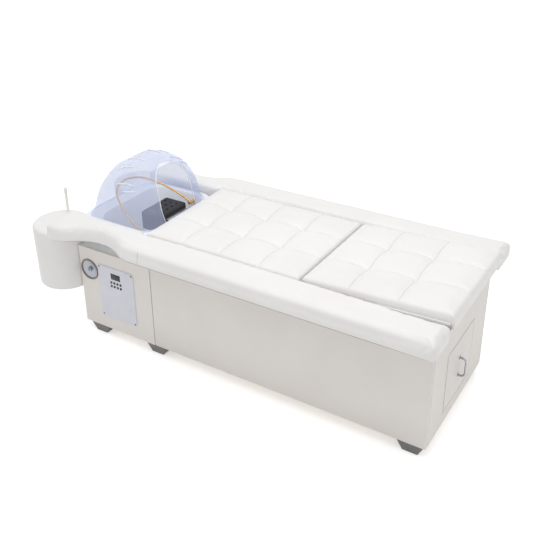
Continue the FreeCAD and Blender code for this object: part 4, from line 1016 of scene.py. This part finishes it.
@dataclass
class Studio:
    """Pale floor, soft light and the photograph's camera."""

    camera_place: tuple[float, float, float] = (1.64565, -2.498, 2.086)
    yaw_deg: float = 32.85
    pitch_deg: float = 25.18
    roll_deg: float = -0.93
    lens_mm: float = 52.38
    sensor_mm: float = 36.0
    shift: tuple[float, float] = (0.0181, -0.1095)
    floor_reach: float = 40.0
    floor_lift: float = 0.5
    surround: float = 0.64
    lamp_watts: float = 50
    lamp_size: tuple[float, float] = (3.2, 2.4)
    lamp_place: tuple[float, float, float] = (0.3, -0.4, 3.7)
    lamp_aim: tuple[float, float, float] = (0, 0, 0.4)

    def seen(self, tree: bpy.types.NodeTree) -> bpy.types.NodeSocket:
        """Rays that show the surround: the camera's, and those that metal and clear plastic pass on.

        Args:
            tree: The floor's or the world's node tree.
        Returns:
            A socket that is one for such rays.
        """
        path = add_node(tree, "ShaderNodeLightPath")
        direct = add_node(tree, "ShaderNodeMath", {"operation": "MAXIMUM"},
                          {0: path.outputs["Is Camera Ray"], 1: path.outputs["Is Glossy Ray"]})
        return add_node(tree, "ShaderNodeMath", {"operation": "MAXIMUM"},
                        {0: direct.outputs["Value"], 1: path.outputs["Is Transmission Ray"]}).outputs["Value"]

    def floor(self) -> None:
        """Lay a wide pale floor."""
        mesh = bpy.data.meshes.new("floor")
        reach = self.floor_reach
        mesh.from_pydata([(-reach, -reach, 0), (reach, -reach, 0), (reach, reach, 0), (-reach, reach, 0)], [],
                         [(0, 1, 2, 3)])
        plane = bpy.data.objects.new("floor", mesh)
        bpy.context.scene.collection.objects.link(plane)
        material, tree, shader, _ = new_material("studio floor")
        # the camera sees the lit floor lifted to white, and the shadow stays on it
        lift = add_node(tree, "ShaderNodeMapRange", {"To Min": 0.0, "To Max": self.floor_lift},
                        {"Value": self.seen(tree)})
        set_up(tree, shader, {"Base Color": linear("#FAFAFA"), "Roughness": 0.9, "Emission Color": (1, 1, 1, 1),
                              "Specular IOR Level": 0.0}, {"Emission Strength": lift.outputs["Result"]})
        mesh.materials.append(material)

    def lights(self) -> None:
        """Set an even white surround and one large soft lamp above the control side."""
        world = bpy.data.worlds.new("studio")
        bpy.context.scene.world = world
        world.use_nodes = True
        tree = world.node_tree
        strength = add_node(tree, "ShaderNodeMapRange", {"To Min": self.surround, "To Max": 1.0},
                            {"Value": self.seen(tree)})
        surround = next(n for n in tree.nodes if n.type == "BACKGROUND")
        set_up(tree, surround, {"Color": (1, 1, 1, 1)}, {"Strength": strength.outputs["Result"]})
        lamp = bpy.data.lights.new("soft box", "AREA")
        lamp.shape = "RECTANGLE"
        lamp.size, lamp.size_y = self.lamp_size
        lamp.energy = self.lamp_watts
        item = bpy.data.objects.new("soft box", lamp)
        item.location = self.lamp_place
        item.rotation_euler = (Vector(self.lamp_aim) - item.location).to_track_quat("-Z", "Y").to_euler()
        bpy.context.scene.collection.objects.link(item)

    def camera(self) -> None:
        """Stand the camera where the photograph was taken."""
        yaw, pitch, roll = (math.radians(a) for a in (self.yaw_deg, self.pitch_deg, self.roll_deg))
        back = Vector((math.sin(yaw) * math.cos(pitch), -math.cos(yaw) * math.cos(pitch), math.sin(pitch)))
        right = (-back).cross(Vector((0, 0, 1))).normalized()
        up = right.cross(-back)
        across = math.cos(roll) * right + math.sin(roll) * up
        upward = math.cos(roll) * up - math.sin(roll) * right
        data = bpy.data.cameras.new("camera")
        data.lens, data.sensor_width = self.lens_mm, self.sensor_mm
        data.shift_x, data.shift_y = self.shift
        item = bpy.data.objects.new("camera", data)
        turn = Matrix((across, upward, back)).transposed().to_4x4()
        item.matrix_world = Matrix.Translation(Vector(self.camera_place)) @ turn
        bpy.context.scene.collection.objects.link(item)
        bpy.context.scene.camera = item

    def build(self) -> None:
        """Set up the floor, lights, camera and view."""
        bpy.context.scene.view_settings.view_transform = "Standard"
        self.floor()
        self.lights()
        self.camera()


def main() -> None:
    """Build every sub-assembly and set up the studio."""
    logging.basicConfig(level=logging.INFO, format="%(name)s: %(message)s")
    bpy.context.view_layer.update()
    finishes = Finishes()
    Carcass().dress(finishes)
    Drawer().dress(finishes)
    HeadEnd().dress(finishes)
    Controls().dress(finishes)
    TuftedCushion("back_pad", "back_cushion", Body.BED, rows=4).build(finishes)
    TuftedCushion("leg_pad", "leg_cushion", Body.LEG_REST, rows=3, tilt_deg=3.0, nose_mm=14.0,
                  nose_drop_mm=28.0).build(finishes)
    PaddedArm("near_arm_pad", "near_armrest").build(finishes)
    PaddedArm("far_arm_pad", "far_armrest").build(finishes)
    Studio().build()
    bpy.context.view_layer.update()


if __name__ == "__main__":
    main()
